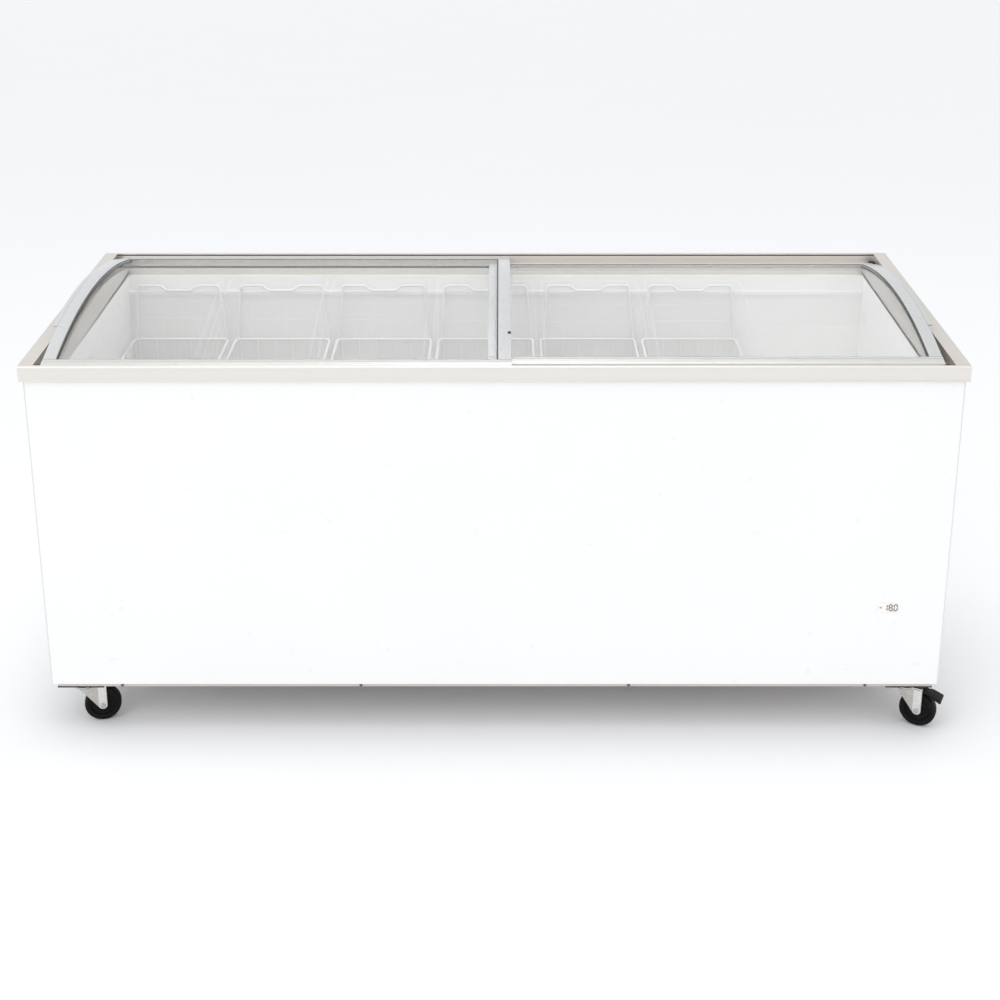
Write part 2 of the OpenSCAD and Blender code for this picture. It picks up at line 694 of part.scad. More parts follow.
// Cam lock in the upper lid's middle frame
lock_r = 3.4;
lock_in = 109.65;
lock_y = lock_in - half_d;
lock_angle = asin((lock_y - arc_y) / upper_top_r);
module lock_place() {
    translate([upper_x1 - 4.5, arc_y, arc_z]) rotate([-lock_angle, 0, 0])
        translate([0, 0, upper_top_r]) children();
}
module lid_lock_barrel() color("dimgray") lock_place() difference() {
    translate([0, 0, 0.3 - lid_t]) cylinder(r = lock_r, h = lid_t + 0.9);
    translate([-0.5, -2.2, 0.4]) cube([1, 4.4, 2]);
}

// The lower lid closes the right half
lower_x0 = lower_left;
lower_x1 = lid_end;
module lower_lid_glass() color("lightcyan", 0.4) lid_glass(lower_top_r, lower_x0, lower_x1, lower_track - bar_w + 4);
module lower_lid_front_bar() color("silver")
    lid_bar(lower_top_r, lower_x0, lower_x1, lower_track, front_lower_floor, -1);
module lower_lid_rear_bar() color("silver")
    lid_bar(lower_top_r, lower_x0, lower_x1, lower_track, rear_lower_floor, 1);
module lower_lid_end_frame() color("silver")
    lid_end_piece(lower_top_r, lower_x0, lower_x1, 1, lower_track);
module lower_lid_middle_frame() color("silver")
    lid_cross(lower_top_r, lower_x0, lower_x0 + mid_frame_w, lower_x0, lower_x1, lower_track);
module lower_lid_seal() color("dimgray") {
    lid_strip(lower_top_r, lower_x0 + 2, lower_x0 + 8, strip_t, lower_track);
    lid_strip(lower_top_r, lower_x1 - 8, lower_x1 - 2, strip_t, lower_track);
}

// Castors: plate, race and kingpin are fixed; the fork swivels and the wheel rolls
plate_l = 96;
plate_w = 64;
plate_t = 2.5;
king_r = 6;
race_t = 3.5;
head_gap = 0.3;
head_t = 3.7;
cheek_t = 2.5;
cheek_gap = 1.5;
axle_r = 5;
bolt_in = 9;
bolt_hole_r = 4.2;
race_r = 22;
washer_r = 9;
washer_t = 2.5;
washer_gap = 0.2;
fork_r = 27;
fork_back = 14;
eye_r = 9;
wheel_r = wheel_d / 2;
fork_top = base_z - plate_t - race_t - head_gap;
fork_under = fork_top - head_t;
castor_x = half_l - castor_in_x;
castor_y = half_d - castor_in_y;
pedal_pin_r = 2.5;
pedal_x = 17;
pedal_z = fork_under - 5.5;
pedal_end = 80;
tread_w = 30;
// Which way each castor trails, in degrees from +X
front_left_turn = 15;
front_right_turn = -28;
rear_left_turn = 165;
rear_right_turn = 20;

module castor_at(sx, sy, turn) {
    translate([sx * castor_x, sy * castor_y, 0]) rotate([0, 0, turn]) children();
}
module castor_plates() color("lightgray") for (sx = [-1, 1], sy = [-1, 1]) castor_at(sx, sy, 0) {
    plate_z = base_z - plate_t;
    difference() {
        translate([-plate_l / 2, -plate_w / 2, plate_z]) cube([plate_l, plate_w, plate_t]);
        for (hx = [-1, 1], hy = [-1, 1])
            translate([hx * (plate_l / 2 - bolt_in), hy * (plate_w / 2 - bolt_in), plate_z - 1])
                cylinder(r = bolt_hole_r, h = plate_t + 2);
    }
    translate([0, 0, plate_z - race_t]) cylinder(r = race_r, h = race_t);
    translate([0, 0, fork_under - washer_gap]) cylinder(r = king_r, h = plate_z - race_t - fork_under + washer_gap);
    translate([0, 0, fork_under - washer_gap - washer_t]) cylinder(r = washer_r, h = washer_t);
}
module castor_fork(pedal_pin) {
    cheek_y = wheel_w / 2 + cheek_gap;
    cheek_out = cheek_y + cheek_t;
    difference() {
        union() {
            translate([0, 0, fork_under]) cylinder(r = fork_r, h = head_t);
            translate([-fork_back, -cheek_out, fork_under]) cube([trail + eye_r + fork_back, 2 * cheek_out, head_t]);
        }
        translate([0, 0, fork_under - 1]) cylinder(r = king_r + pin_run, h = head_t + 2);
    }
    for (side = [-1, 1]) translate([0, side * (cheek_y + cheek_t / 2) + cheek_t / 2, 0]) rotate([90, 0, 0])
        linear_extrude(cheek_t) {
            polygon([[-fork_back, fork_under], [trail + eye_r, fork_under], [trail + eye_r, wheel_r],
                     [trail, wheel_r - eye_r], [trail - 0.72 * eye_r, wheel_r - 0.67 * eye_r]]);
            translate([trail, wheel_r]) circle(eye_r);
        }
    translate([trail, cheek_out + 2, wheel_r]) rotate([90, 0, 0]) cylinder(r = axle_r, h = 2 * (cheek_out + 2));
    if (pedal_pin) translate([pedal_x, cheek_y + 0.5, pedal_z]) rotate([90, 0, 0])
        cylinder(r = pedal_pin_r, h = 2 * cheek_y + 1);
}
// A wheel, turned about its axle: hub, web and tyre
module castor_wheel() {
    bore = axle_r + pin_run;
    tyre_in = wheel_r - 11;
    translate([trail, 0, wheel_r]) rotate([90, 0, 0]) rotate_extrude($fn = 96) {
        translate([bore, -wheel_w / 2 - 1]) square([8, wheel_w + 2]);
        translate([bore, -wheel_w / 4]) square([tyre_in + 2 - bore, wheel_w / 2]);
        polygon([[tyre_in, -wheel_w / 2], [wheel_r - 3, -wheel_w / 2], [wheel_r, -wheel_w / 2 + 5],
                 [wheel_r, wheel_w / 2 - 5], [wheel_r - 3, wheel_w / 2], [tyre_in, wheel_w / 2]]);
    }
}
// The brake pedal, side on: an arm that turns on a pin in the fork, and a wider tread
module castor_brake_pedal() color("black") castor_at(1, -1, front_right_turn) difference() {
    arm = wheel_w - 2;
    union() {
        translate([0, arm / 2, pedal_z]) rotate([90, 0, 0]) linear_extrude(arm)
            polygon([[12, -3.2], [12, 3], [44, 3], [66, -4], [66, -9], [56, -5], [44, -3.2]]);
        translate([0, tread_w / 2, pedal_z]) rotate([90, 0, 0]) linear_extrude(tread_w)
            polygon([[60, -2], [pedal_end, -9], [pedal_end, -16], [66, -8]]);
    }
    translate([pedal_x, wheel_w, pedal_z]) rotate([90, 0, 0]) cylinder(r = pedal_pin_r + pin_run, h = 2 * wheel_w);
}
module castor_fork_front_left() color("lightgray") castor_at(-1, -1, front_left_turn) castor_fork(false);
module castor_fork_front_right() color("lightgray") castor_at(1, -1, front_right_turn) castor_fork(true);
module castor_fork_rear_left() color("lightgray") castor_at(-1, 1, rear_left_turn) castor_fork(false);
module castor_fork_rear_right() color("lightgray") castor_at(1, 1, rear_right_turn) castor_fork(false);
module castor_wheel_front_left() color("black") castor_at(-1, -1, front_left_turn) castor_wheel();
module castor_wheel_front_right() color("black") castor_at(1, -1, front_right_turn) castor_wheel();
module castor_wheel_rear_left() color("black") castor_at(-1, 1, rear_left_turn) castor_wheel();
module castor_wheel_rear_right() color("black") castor_at(1, 1, rear_right_turn) castor_wheel();

// Wire basket: welded mesh panels, a heavy rim, and hanging loops that hook over the ledges
basket_pitch = (tub_x + step_x) / basket_count;
basket_half = (basket_pitch - basket_gap) / 2;
basket_y = tub_y - ledge_w - 2 - rim_wire;
basket_z = tub_floor + basket_floor;
wire_gap = 0.1;
cell = 60;
function rim_z(y) = ledge_z(y) - basket_drop;

module wire(a, b, d) {
    v = b - a;
    translate(a) rotate([0, acos(v[2] / norm(v)), atan2(v[1], v[0])]) cylinder(d = d, h = norm(v), $fn = 16);
}
// A mesh panel over a quadrilateral: width w, height h0 at one end and h1 at the other
module mesh_panel(w, h0, h1) {
    columns = round(w / cell);
    rows = round(min(h0, h1) / cell);
    m = mesh_wire;
    linear_extrude(m) difference() {
        polygon([[0, 0], [w, 0], [w, h1], [0, h0]]);
        for (i = [0:columns - 1], j = [0:rows - 1]) {
            xa = m + i * (w - m) / columns;
            xb = (i + 1) * (w - m) / columns;
            ha = h0 + (h1 - h0) * xa / w;
            hb = h0 + (h1 - h0) * xb / w;
            polygon([[xa, m + j * (ha - m) / rows], [xb, m + j * (hb - m) / rows],
                     [xb, (j + 1) * (hb - m) / rows], [xa, (j + 1) * (ha - m) / rows]]);
        }
    }
}
module hanging_loop(side) {
    y = side * basket_y;
    low_z = rim_z(y) + rim_wire / 2 + wire_gap;
    top_z = ledge_z(side * tub_y) + 16;
    hook_z = ledge_z(side * tub_y) + (rim_wire - 1) / 2 + head_gap;
    low_x = basket_half - 8;
    top_x = basket_half - 20;
    dip_x = 34;
    step = rim_wire / 2 + wire_gap;
    for (s = [-1, 1]) {
        wire([s * low_x, y, low_z], [s * top_x, y, top_z - step], rim_wire);
        wire([s * (top_x + 3), y, top_z], [s * dip_x, y, top_z], rim_wire);
        wire([s * top_x, y + side * step, hook_z], [s * top_x, side * (tub_y - head_gap), hook_z], rim_wire - 1);
    }
    wire([-dip_x - 4, y - side * 2 * step, top_z - 2], [dip_x + 4, y - side * 2 * step, top_z - 2], rim_wire);
}
module basket(i) {
    m = mesh_wire;
    w = 2 * basket_half - 2 * rim_wire;
    depth = 2 * basket_y;
    front_h = rim_z(-basket_y) - basket_z - rim_wire / 2 - m - 2 * wire_gap;
    back_h = rim_z(basket_y) - basket_z - rim_wire / 2 - m - 2 * wire_gap;
    translate([-tub_x + (i + 0.5) * basket_pitch, 0, 0]) {
        translate([-w / 2, -depth / 2, basket_z]) mesh_panel(w, depth, depth);
        for (side = [-1, 1]) {
            translate([-w / 2, side * (depth / 2 - m / 2) + m / 2, basket_z + m + wire_gap]) rotate([90, 0, 0])
                mesh_panel(w, side > 0 ? back_h : front_h, side > 0 ? back_h : front_h);
            translate([side * (w / 2 - m / 2) - m / 2, -depth / 2 + m + wire_gap, basket_z + m + wire_gap])
                rotate([90, 0, 90]) mesh_panel(depth - 2 * m - 2 * wire_gap, front_h, back_h - 0.3);
            wire([-w / 2, side * (depth / 2 - m / 2), rim_z(side * basket_y)],
                 [w / 2, side * (depth / 2 - m / 2), rim_z(side * basket_y)], rim_wire);
            wire([side * (w / 2 + rim_wire / 2), -depth / 2, rim_z(-basket_y)],
                 [side * (w / 2 + rim_wire / 2), depth / 2, rim_z(basket_y)], rim_wire);
            hanging_loop(side);
        }
    }
}
module basket_1() color("white") basket(0);
module basket_2() color("white") basket(1);
module basket_3() color("white") basket(2);
module basket_4() color("white") basket(3);
module basket_5() color("white") basket(4);
module basket_6() color("white") basket(5);

outer_shell();
rear_panel();
inner_liner();
insulation_foam();
base_pan();
base_screws();
front_rail();
rear_rail();
left_side_rail();
right_side_rail();
frame_bumpers();
display_bezel();
display_window();
display_board();
end_grille();
rear_grille();
compressor();
compressor_grommets();
start_relay_box();
condenser_coil();
fan_bracket();
fan_motor();
fan_blade();
filter_drier();
refrigerant_pipe();
evaporator_tube();
drain_spout();
drain_plug();
cord_inlet();
upper_lid_glass();
upper_lid_front_bar();
upper_lid_rear_bar();
upper_lid_end_frame();
upper_lid_middle_frame();
upper_lid_seal();
lid_lock_barrel();
lower_lid_glass();
lower_lid_front_bar();
lower_lid_rear_bar();
lower_lid_end_frame();
lower_lid_middle_frame();
lower_lid_seal();
castor_plates();
castor_fork_front_left();
castor_fork_front_right();
castor_fork_rear_left();
castor_fork_rear_right();
castor_wheel_front_left();
castor_wheel_front_right();
castor_wheel_rear_left();
castor_wheel_rear_right();
castor_brake_pedal();
basket_1();
basket_2();
basket_3();
basket_4();
basket_5();
basket_6();
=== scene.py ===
"""Looks of a chest freezer with two bowed sliding glass lids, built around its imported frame."""

import logging
import math
from dataclasses import dataclass, field
from enum import Enum
from typing import Iterable, Sequence

import bmesh
import bpy
import numpy as np
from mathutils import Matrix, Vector


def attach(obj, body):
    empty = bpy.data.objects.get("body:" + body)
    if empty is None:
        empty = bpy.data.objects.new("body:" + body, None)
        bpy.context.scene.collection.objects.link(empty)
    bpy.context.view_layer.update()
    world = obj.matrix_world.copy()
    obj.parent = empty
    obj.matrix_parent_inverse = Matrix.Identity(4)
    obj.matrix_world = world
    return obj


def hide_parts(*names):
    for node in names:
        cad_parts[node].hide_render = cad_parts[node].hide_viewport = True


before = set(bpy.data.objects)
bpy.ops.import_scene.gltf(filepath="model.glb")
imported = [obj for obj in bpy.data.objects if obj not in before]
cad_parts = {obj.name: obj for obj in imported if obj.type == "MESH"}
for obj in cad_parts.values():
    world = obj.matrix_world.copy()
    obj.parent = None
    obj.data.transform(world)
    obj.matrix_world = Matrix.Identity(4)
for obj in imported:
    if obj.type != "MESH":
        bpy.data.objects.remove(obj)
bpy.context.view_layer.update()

LOG = logging.getLogger("freezer")
MM = 0.001
BEVEL_DEGREES = 35
SHARP_DEGREES = 40
MERGE = 1e-6
UP = (0.0, 0.0, 1.0)
OFF_AXIS = 0.013 * np.array([1.0, 2.0, 3.0])

Point = tuple[float, float, float]
Colour = tuple[float, float, float]


class Side(Enum):
    """Which end or face of the freezer a piece belongs to, as a sign along its axis."""

    LOW = -1
    HIGH = 1


# ---------------------------------------------------------------- materials


class Graph:
    """A small wrapper that lays shader nodes into one new material."""

    def __init__(self, name: str) -> None:
        """Start an empty material with a Principled shader and object coordinates."""
        self.material = bpy.data.materials.new(name)
        self.material.use_nodes = True
        self.tree = self.material.node_tree
        self.tree.nodes.clear()
        output = self.tree.nodes.new("ShaderNodeOutputMaterial")
        self.shader = self.tree.nodes.new("ShaderNodeBsdfPrincipled")
        self.tree.links.new(self.shader.outputs[0], output.inputs[0])
        self.place = self.tree.nodes.new("ShaderNodeTexCoord").outputs["Object"]

    def add(self, kind: str, **values: object) -> bpy.types.Node:
        """Add a node.

        Args:
            kind: Blender's node type.
            values: Node properties by name.

        Returns:
            The new node.
        """
        made = self.tree.nodes.new(kind)
        for key, value in values.items():
            setattr(made, key, value)
        return made

    def join(self, source: bpy.types.NodeSocket, target: bpy.types.NodeSocket) -> None:
        """Link one socket to another."""
        self.tree.links.new(source, target)

    def stretched(self, scale: Point) -> bpy.types.NodeSocket:
        """Object coordinates scaled by a factor along each axis.

        Args:
            scale: Factor along X, Y and Z.

        Returns:
            The scaled vector socket.
        """
        mapping = self.add("ShaderNodeMapping")
        mapping.inputs["Scale"].default_value = scale
        self.join(self.place, mapping.inputs["Vector"])
        return mapping.outputs["Vector"]

    def noise(self, scale: float, detail: float = 3.0, stretch: Point = (1, 1, 1)) -> bpy.types.NodeSocket:
        """Smooth noise on object coordinates.

        Args:
            scale: Spots to a metre, roughly.
            detail: Octaves.
            stretch: Factor along each axis before the noise is taken.

        Returns:
            The noise value socket.
        """
        texture = self.add("ShaderNodeTexNoise")
        texture.inputs["Scale"].default_value = scale
        texture.inputs["Detail"].default_value = detail
        self.join(self.stretched(stretch), texture.inputs["Vector"])
        return texture.outputs["Fac"]

    def spread(self, value: bpy.types.NodeSocket, low: float, high: float) -> bpy.types.NodeSocket:
        """Map a noise value from its usual span onto low to high.

        Args:
            value: Noise value socket.
            low: Result at the bottom of the span.
            high: Result at the top of the span.

        Returns:
            The mapped value socket.
        """
        span = self.add("ShaderNodeMapRange")
        span.inputs["From Min"].default_value = 0.3
        span.inputs["From Max"].default_value = 0.7
        span.inputs["To Min"].default_value = low
        span.inputs["To Max"].default_value = high
        self.join(value, span.inputs["Value"])
        return span.outputs["Result"]

    def tint(self, value: bpy.types.NodeSocket, low: Colour, high: Colour) -> None:
        """Drive the base colour between two colours by a noise value."""
        ramp = self.add("ShaderNodeValToRGB")
        ramp.color_ramp.elements[0].position = 0.35
        ramp.color_ramp.elements[1].position = 0.65
        ramp.color_ramp.elements[0].color = (*low, 1.0)
        ramp.color_ramp.elements[1].color = (*high, 1.0)
        self.join(value, ramp.inputs["Fac"])
        self.join(ramp.outputs["Color"], self.shader.inputs["Base Color"])

    def roughen(self, value: bpy.types.NodeSocket, low: float, high: float) -> None:
        """Drive the roughness between two values by a noise value."""
        self.join(self.spread(value, low, high), self.shader.inputs["Roughness"])

    def bump(self, value: bpy.types.NodeSocket, depth: float, strength: float = 0.5) -> None:
        """Raise the surface by a noise value, depth in metres."""
        made = self.add("ShaderNodeBump")
        made.inputs["Strength"].default_value = strength
        made.inputs["Distance"].default_value = depth
        self.join(value, made.inputs["Height"])
        self.join(made.outputs["Normal"], self.shader.inputs["Normal"])

    def set(self, **values: float) -> None:
        """Set plain numbers on the shader's own sockets, by name with _ for a space."""
        for key, value in values.items():
            self.shader.inputs[key.replace("_", " ")].default_value = value


@dataclass(frozen=True)
class Paint:
    """Sheet metal with a coat of paint or powder: a faint orange peel, and specks of wear in the gloss."""

    name: str
    colour: Colour
    rough: float = 0.3
    peel: float = 0.00003
    coat: float = 0.2

    def make(self) -> bpy.types.Material:
        """Build the material."""
        g = Graph(self.name)
        low = tuple(c * 0.985 for c in self.colour)
        g.tint(g.noise(2.5, 4), low, self.colour)
        g.roughen(g.noise(35, 4), self.rough - 0.05, self.rough + 0.07)
        g.bump(g.noise(420, 2), self.peel, 0.35)
        g.set(Coat_Weight=self.coat, Coat_Roughness=0.12, IOR=1.48)
        return g.material


@dataclass(frozen=True)
class DrawnMetal:
    """Anodised or drawn metal with fine lines along one axis."""

    name: str
    colour: Colour
    along: Point
    rough: float = 0.32
    metallic: float = 0.85

    def make(self) -> bpy.types.Material:
        """Build the material."""
        g = Graph(self.name)
        lines = g.noise(900, 2, self.along)
        low = tuple(c * 0.93 for c in self.colour)
        g.tint(g.noise(4, 3, self.along), low, self.colour)
        g.roughen(lines, self.rough - 0.06, self.rough + 0.08)
        g.bump(lines, 0.00002, 0.3)
        g.set(Metallic=self.metallic, Anisotropic=0.4)
        return g.material


@dataclass(frozen=True)
class ClearGlass:
    """Tempered lid glass, faintly green, with a little uneven reflection."""

    name: str
    colour: Colour = (0.975, 1.0, 0.988)
    cover: float = 0.16

    def make(self) -> bpy.types.Material:
        """Build the material."""
        g = Graph(self.name)
        g.tint(g.noise(1.5, 2), tuple(c * 0.995 for c in self.colour), self.colour)
        g.roughen(g.noise(3, 2), 0.0, 0.012)
        g.set(Transmission_Weight=1.0, IOR=1.45, Specular_IOR_Level=0.5, Alpha=self.cover)
        return g.material


@dataclass(frozen=True)
class Moulded:
    """Moulded plastic or rubber with a fine grain and slight colour variation."""

    name: str
    colour: Colour
    rough: float = 0.5
    grain: float = 0.00005
    grain_scale: float = 700
    gloss: float = 0.5

    def make(self) -> bpy.types.Material:
        """Build the material."""
        g = Graph(self.name)
        g.tint(g.noise(18, 4), tuple(c * 0.9 for c in self.colour), self.colour)
        g.roughen(g.noise(60, 3), self.rough - 0.08, self.rough + 0.1)
        g.bump(g.noise(self.grain_scale, 2), self.grain, 0.4)
        g.set(Specular_IOR_Level=self.gloss)
        return g.material


@dataclass(frozen=True)
class ZincPlate:
    """Bright zinc plating with soft crystalline blotches."""

    name: str
    colour: Colour = (0.82, 0.82, 0.8)

    def make(self) -> bpy.types.Material:
        """Build the material."""
        g = Graph(self.name)
        cells = g.add("ShaderNodeTexVoronoi")
        cells.inputs["Scale"].default_value = 260
        g.join(g.place, cells.inputs["Vector"])
        g.tint(g.noise(45, 4), tuple(c * 0.86 for c in self.colour), self.colour)
        g.roughen(cells.outputs["Distance"], 0.24, 0.4)
        g.bump(g.noise(500, 2), 0.00003, 0.3)
        g.set(Metallic=0.9)
        return g.material


@dataclass(frozen=True)
class Glow:
    """Lit segments of a display."""

    name: str
    colour: Colour
    strength: float

    def make(self) -> bpy.types.Material:
        """Build the material."""
        g = Graph(self.name)
        g.tint(g.noise(300, 2), tuple(c * 0.85 for c in self.colour), self.colour)
        g.set(Roughness=0.4, Emission_Strength=self.strength)
        g.shader.inputs["Emission Color"].default_value = (*self.colour, 1.0)
        return g.material


ALONG_X: Point = (0.02, 1.0, 1.0)
ALONG_Y: Point = (1.0, 0.02, 1.0)
FINISHES = {
    "shell": Paint("shell_white", (0.93, 0.93, 0.925), 0.32, 0.000006),
    "liner": Paint("liner_white", (0.965, 0.962, 0.952), 0.38, 0.000006, 0.1),
    "rear": DrawnMetal("rear_galvanised", (0.7, 0.71, 0.72), ALONG_X, 0.42, 0.7),
    "pan": Paint("pan_grey", (0.6, 0.56, 0.54), 0.45),
    "frame_x": DrawnMetal("frame_satin_x", (0.82, 0.785, 0.74), ALONG_X, 0.34, 0.7),
    "frame_y": DrawnMetal("frame_satin_y", (0.66, 0.63, 0.585), ALONG_Y, 0.34, 0.7),
    "lid_x": DrawnMetal("lid_satin_x", (0.69, 0.68, 0.665), ALONG_X, 0.32, 0.7),
    "lid_y": DrawnMetal("lid_satin_y", (0.64, 0.645, 0.65), ALONG_Y, 0.32, 0.7),
    "glass": ClearGlass("lid_glass"),
    "wire": Paint("coated_wire", (0.92, 0.92, 0.91), 0.35, 0.00002),
    "gasket": Moulded("glazing_gasket", (0.10, 0.10, 0.10), 0.55),
    "rubber": Moulded("black_rubber", (0.022, 0.021, 0.02), 0.6),
    "tyre": Moulded("wheel_black", (0.004, 0.0035, 0.003), 0.62, 0.00008, 500, 0.2),
    "plastic": Moulded("black_plastic", (0.006, 0.006, 0.006), 0.55, gloss=0.25),
    "ivory": Moulded("ivory_plastic", (0.78, 0.74, 0.62), 0.5),
    "zinc": ZincPlate("zinc_plate", (0.80, 0.78, 0.755)),
    # painted shade: darker zinc on the fork webs and axle bolts, standing in for the shade of the pressed
    # recess
    "zinc_shade": ZincPlate("zinc_painted_shade", (0.56, 0.535, 0.51)),
    # near-black zinc: painted shade on the castor plates and swivel dishes for the shadow under the cabinet;
    # the lock barrel wears it too
    "black_zinc_and_painted_shade": ZincPlate("zinc_black_and_painted_shade", (0.055, 0.05, 0.048)),
    # painted shade: grey for the front panel's corner strips, where the white panel turns away from the light
    "edge": Paint("panel_edge_painted_shade", (0.74, 0.74, 0.735), 0.4),
    "screw": DrawnMetal("dark_screw", (0.12, 0.12, 0.12), ALONG_X, 0.45, 0.8),
    "black_paint": Paint("black_enamel", (0.02, 0.02, 0.022), 0.35),
    "copper": DrawnMetal("copper_tube", (0.72, 0.36, 0.22), ALONG_X, 0.3, 0.95),
    "motor": DrawnMetal("motor_steel", (0.45, 0.45, 0.46), ALONG_Y, 0.4, 0.8),
    "fins": DrawnMetal("fin_steel", (0.25, 0.25, 0.26), ALONG_Y, 0.5, 0.6),
    "foam": Moulded("rigid_foam", (0.86, 0.84, 0.76), 0.85, 0.0004, 260),
    "board": Moulded("circuit_board", (0.02, 0.16, 0.07), 0.4),
    "window": Paint("display_window_white", (0.92, 0.92, 0.90), 0.16, 0.00001, 0.6),
    "digit": Glow("display_digit", (0.21, 0.14, 0.085), 0.08),
}
MADE: dict[str, bpy.types.Material] = {}


def finish_of(key: str) -> bpy.types.Material:
    """The material of a finish, built the first time it is asked for."""
    if key not in MADE:
        MADE[key] = FINISHES[key].make()
    return MADE[key]


def dress(key: str, *nodes: str) -> None:
    """Give CAD nodes a finish through their material slots.

    Args:
        key: Finish name.
        nodes: CAD node names.
    """
    for name in nodes:
        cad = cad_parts[name]
        cad.data.materials.clear()
        cad.data.materials.append(finish_of(key))
        LOG.info("dressed %s in %s", name, key)


# ---------------------------------------------------------------- mesh makers


@dataclass
class Mesh:
    """Points, in millimetres, and faces of one piece as they are gathered."""

    points: list[np.ndarray] = field(default_factory=list)
    faces: list[list[int]] = field(default_factory=list)
    count: int = 0

    def add(self, points: np.ndarray, faces: Iterable[Sequence[int]]) -> None:
        """Add points and the faces that index them."""
        start = self.count
        self.points.append(np.asarray(points, float).reshape(-1, 3))
        self.faces += [[int(i) + start for i in face] for face in faces]
        self.count += len(self.points[-1])

    def grid(self, points: np.ndarray, wrap_u: bool = False, wrap_v: bool = False) -> None:
        """Add a grid of points as quads.

        Args:
            points: Array of shape (rows, columns, 3).
            wrap_u: Join the last row to the first.
            wrap_v: Join the last column to the first.
        """
        rows, columns = points.shape[:2]
        index = np.arange(rows * columns).reshape(rows, columns)
        if wrap_u:
            index = np.vstack([index, index[:1]])
        if wrap_v:
            index = np.hstack([index, index[:, :1]])
        quads = np.stack([index[:-1, :-1], index[1:, :-1], index[1:, 1:], index[:-1, 1:]], -1)
        self.add(points, quads.reshape(-1, 4))

    def build(
        self, name: str, body: str, finish: str, smooth: bool = True, bevel: float = 0.0
    ) -> bpy.types.Object:
        """Make the object, dress it and let it ride.

        Args:
            name: Piece name.
            body: Body that carries it.
            finish: Finish name.
            smooth: Smooth shading, with sharper edges than SHARP_DEGREES kept sharp.
            bevel: Width of a small edge round in metres, or 0.

        Returns:
            The new object.
        """
        mesh = bpy.data.meshes.new(name)
        mesh.from_pydata((np.vstack(self.points) * MM).tolist(), [], self.faces)
        mesh.update()
        made = bpy.data.objects.new(name, mesh)
        bpy.context.scene.collection.objects.link(made)
        mend_normals(mesh)
        mesh.materials.append(finish_of(finish))
        mesh.polygons.foreach_set("use_smooth", [smooth] * len(mesh.polygons))
        if bevel:
            edge = made.modifiers.new("edge", "BEVEL")
            edge.width = bevel
            edge.segments = 2
            edge.limit_method = "ANGLE"
            edge.angle_limit = math.radians(BEVEL_DEGREES)
            edge.harden_normals = True
        elif smooth:
            mesh.set_sharp_from_angle(angle=math.radians(SHARP_DEGREES))
        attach(made, body)
        LOG.info("built %s on %s, %d faces", name, body, len(mesh.polygons))
        return made


def mend_normals(mesh: bpy.types.Mesh) -> None:
    """Turn every face outwards."""
    work = bmesh.new()
    work.from_mesh(mesh)
    bmesh.ops.remove_doubles(work, verts=work.verts, dist=MERGE)
    bmesh.ops.recalc_face_normals(work, faces=work.faces)
    work.to_mesh(mesh)
    work.free()


def loft(mesh: Mesh, first: np.ndarray, last: np.ndarray) -> None:
    """Add a closed solid between two flat rings with as many points each."""
    n = len(first)
    walls = [[i, (i + 1) % n, (i + 1) % n + n, i + n] for i in range(n)]
    mesh.add(np.vstack([first, last]), walls + [list(range(n))[::-1], list(range(n, 2 * n))])


def capped(mesh: Mesh, rings: np.ndarray) -> None:
    """Add rings of shape (rings, corners, 3) as a tube with closed ends."""
    start, (rows, corners) = mesh.count, rings.shape[:2]
    mesh.grid(rings, wrap_v=True)
    last = start + (rows - 1) * corners
    mesh.faces.append([start + i for i in range(corners)])
    mesh.faces.append([last + i for i in range(corners)][::-1])


def unit(ways: np.ndarray) -> np.ndarray:
    """Directions scaled to length 1."""
    return ways / np.linalg.norm(ways, axis=1)[:, None]


def rings_across(
    path: np.ndarray, ways: np.ndarray, guide: Sequence[float], radius: float, sides: int
) -> np.ndarray:
    """Rings of points across a path: centre + r (cos a U + sin a V).

    Args:
        path: Centres, of shape (n, 3).
        ways: Direction of the path at each.
        guide: A direction that no way is along. U is square to both.
        radius: Ring radius.
        sides: Corners of a ring.

    Returns:
        Points of shape (n, sides, 3).
    """
    u = unit(np.cross(ways, guide))
    v = np.cross(ways, u)
    angle = np.linspace(0, 2 * np.pi, sides, endpoint=False)
    out = np.cos(angle)[None, :, None] * u[:, None] + np.sin(angle)[None, :, None] * v[:, None]
    return path[:, None] + radius * out


def prism_x(mesh: Mesh, outline: Sequence[tuple[float, float]], x0: float, x1: float) -> None:
    """Add a closed prism: an outline of (y, z) corners carried from x0 to x1."""
    ring = np.array(outline, float)
    loft(mesh, *(np.column_stack([np.full(len(ring), x), ring]) for x in (x0, x1)))


def tube(mesh: Mesh, path: np.ndarray, radius: float, sides: int = 8) -> None:
    """Add a round tube along a path, with closed ends.

    A ring's plane is square to the mean direction of the two stretches that meet there.

    Args:
        mesh: Mesh to add to.
        path: Points of shape (n, 3).
        radius: Tube radius.
        sides: Corners of a ring.
    """
    path = np.asarray(path, float)
    steps = unit(np.diff(path, axis=0))
    ways = unit(np.vstack([steps[:1], steps[:-1] + steps[1:], steps[-1:]]))
    guide = np.eye(3)[int(np.argmin(np.ptp(path, axis=0)))] + OFF_AXIS
    capped(mesh, rings_across(path, ways, guide, radius, sides))


def closed_tube(mesh: Mesh, path: np.ndarray, radius: float, sides: int) -> None:
    """Add a round tube along a nearly level closed path, with its ends joined.

    Args:
        mesh: Mesh to add to.
        path: Points round the path, of shape (n, 3).
        radius: Tube radius.
        sides: Corners of a ring.
    """
    ways = unit(np.roll(path, -1, 0) - np.roll(path, 1, 0))
    mesh.grid(rings_across(path, ways, UP, radius, sides), wrap_u=True, wrap_v=True)


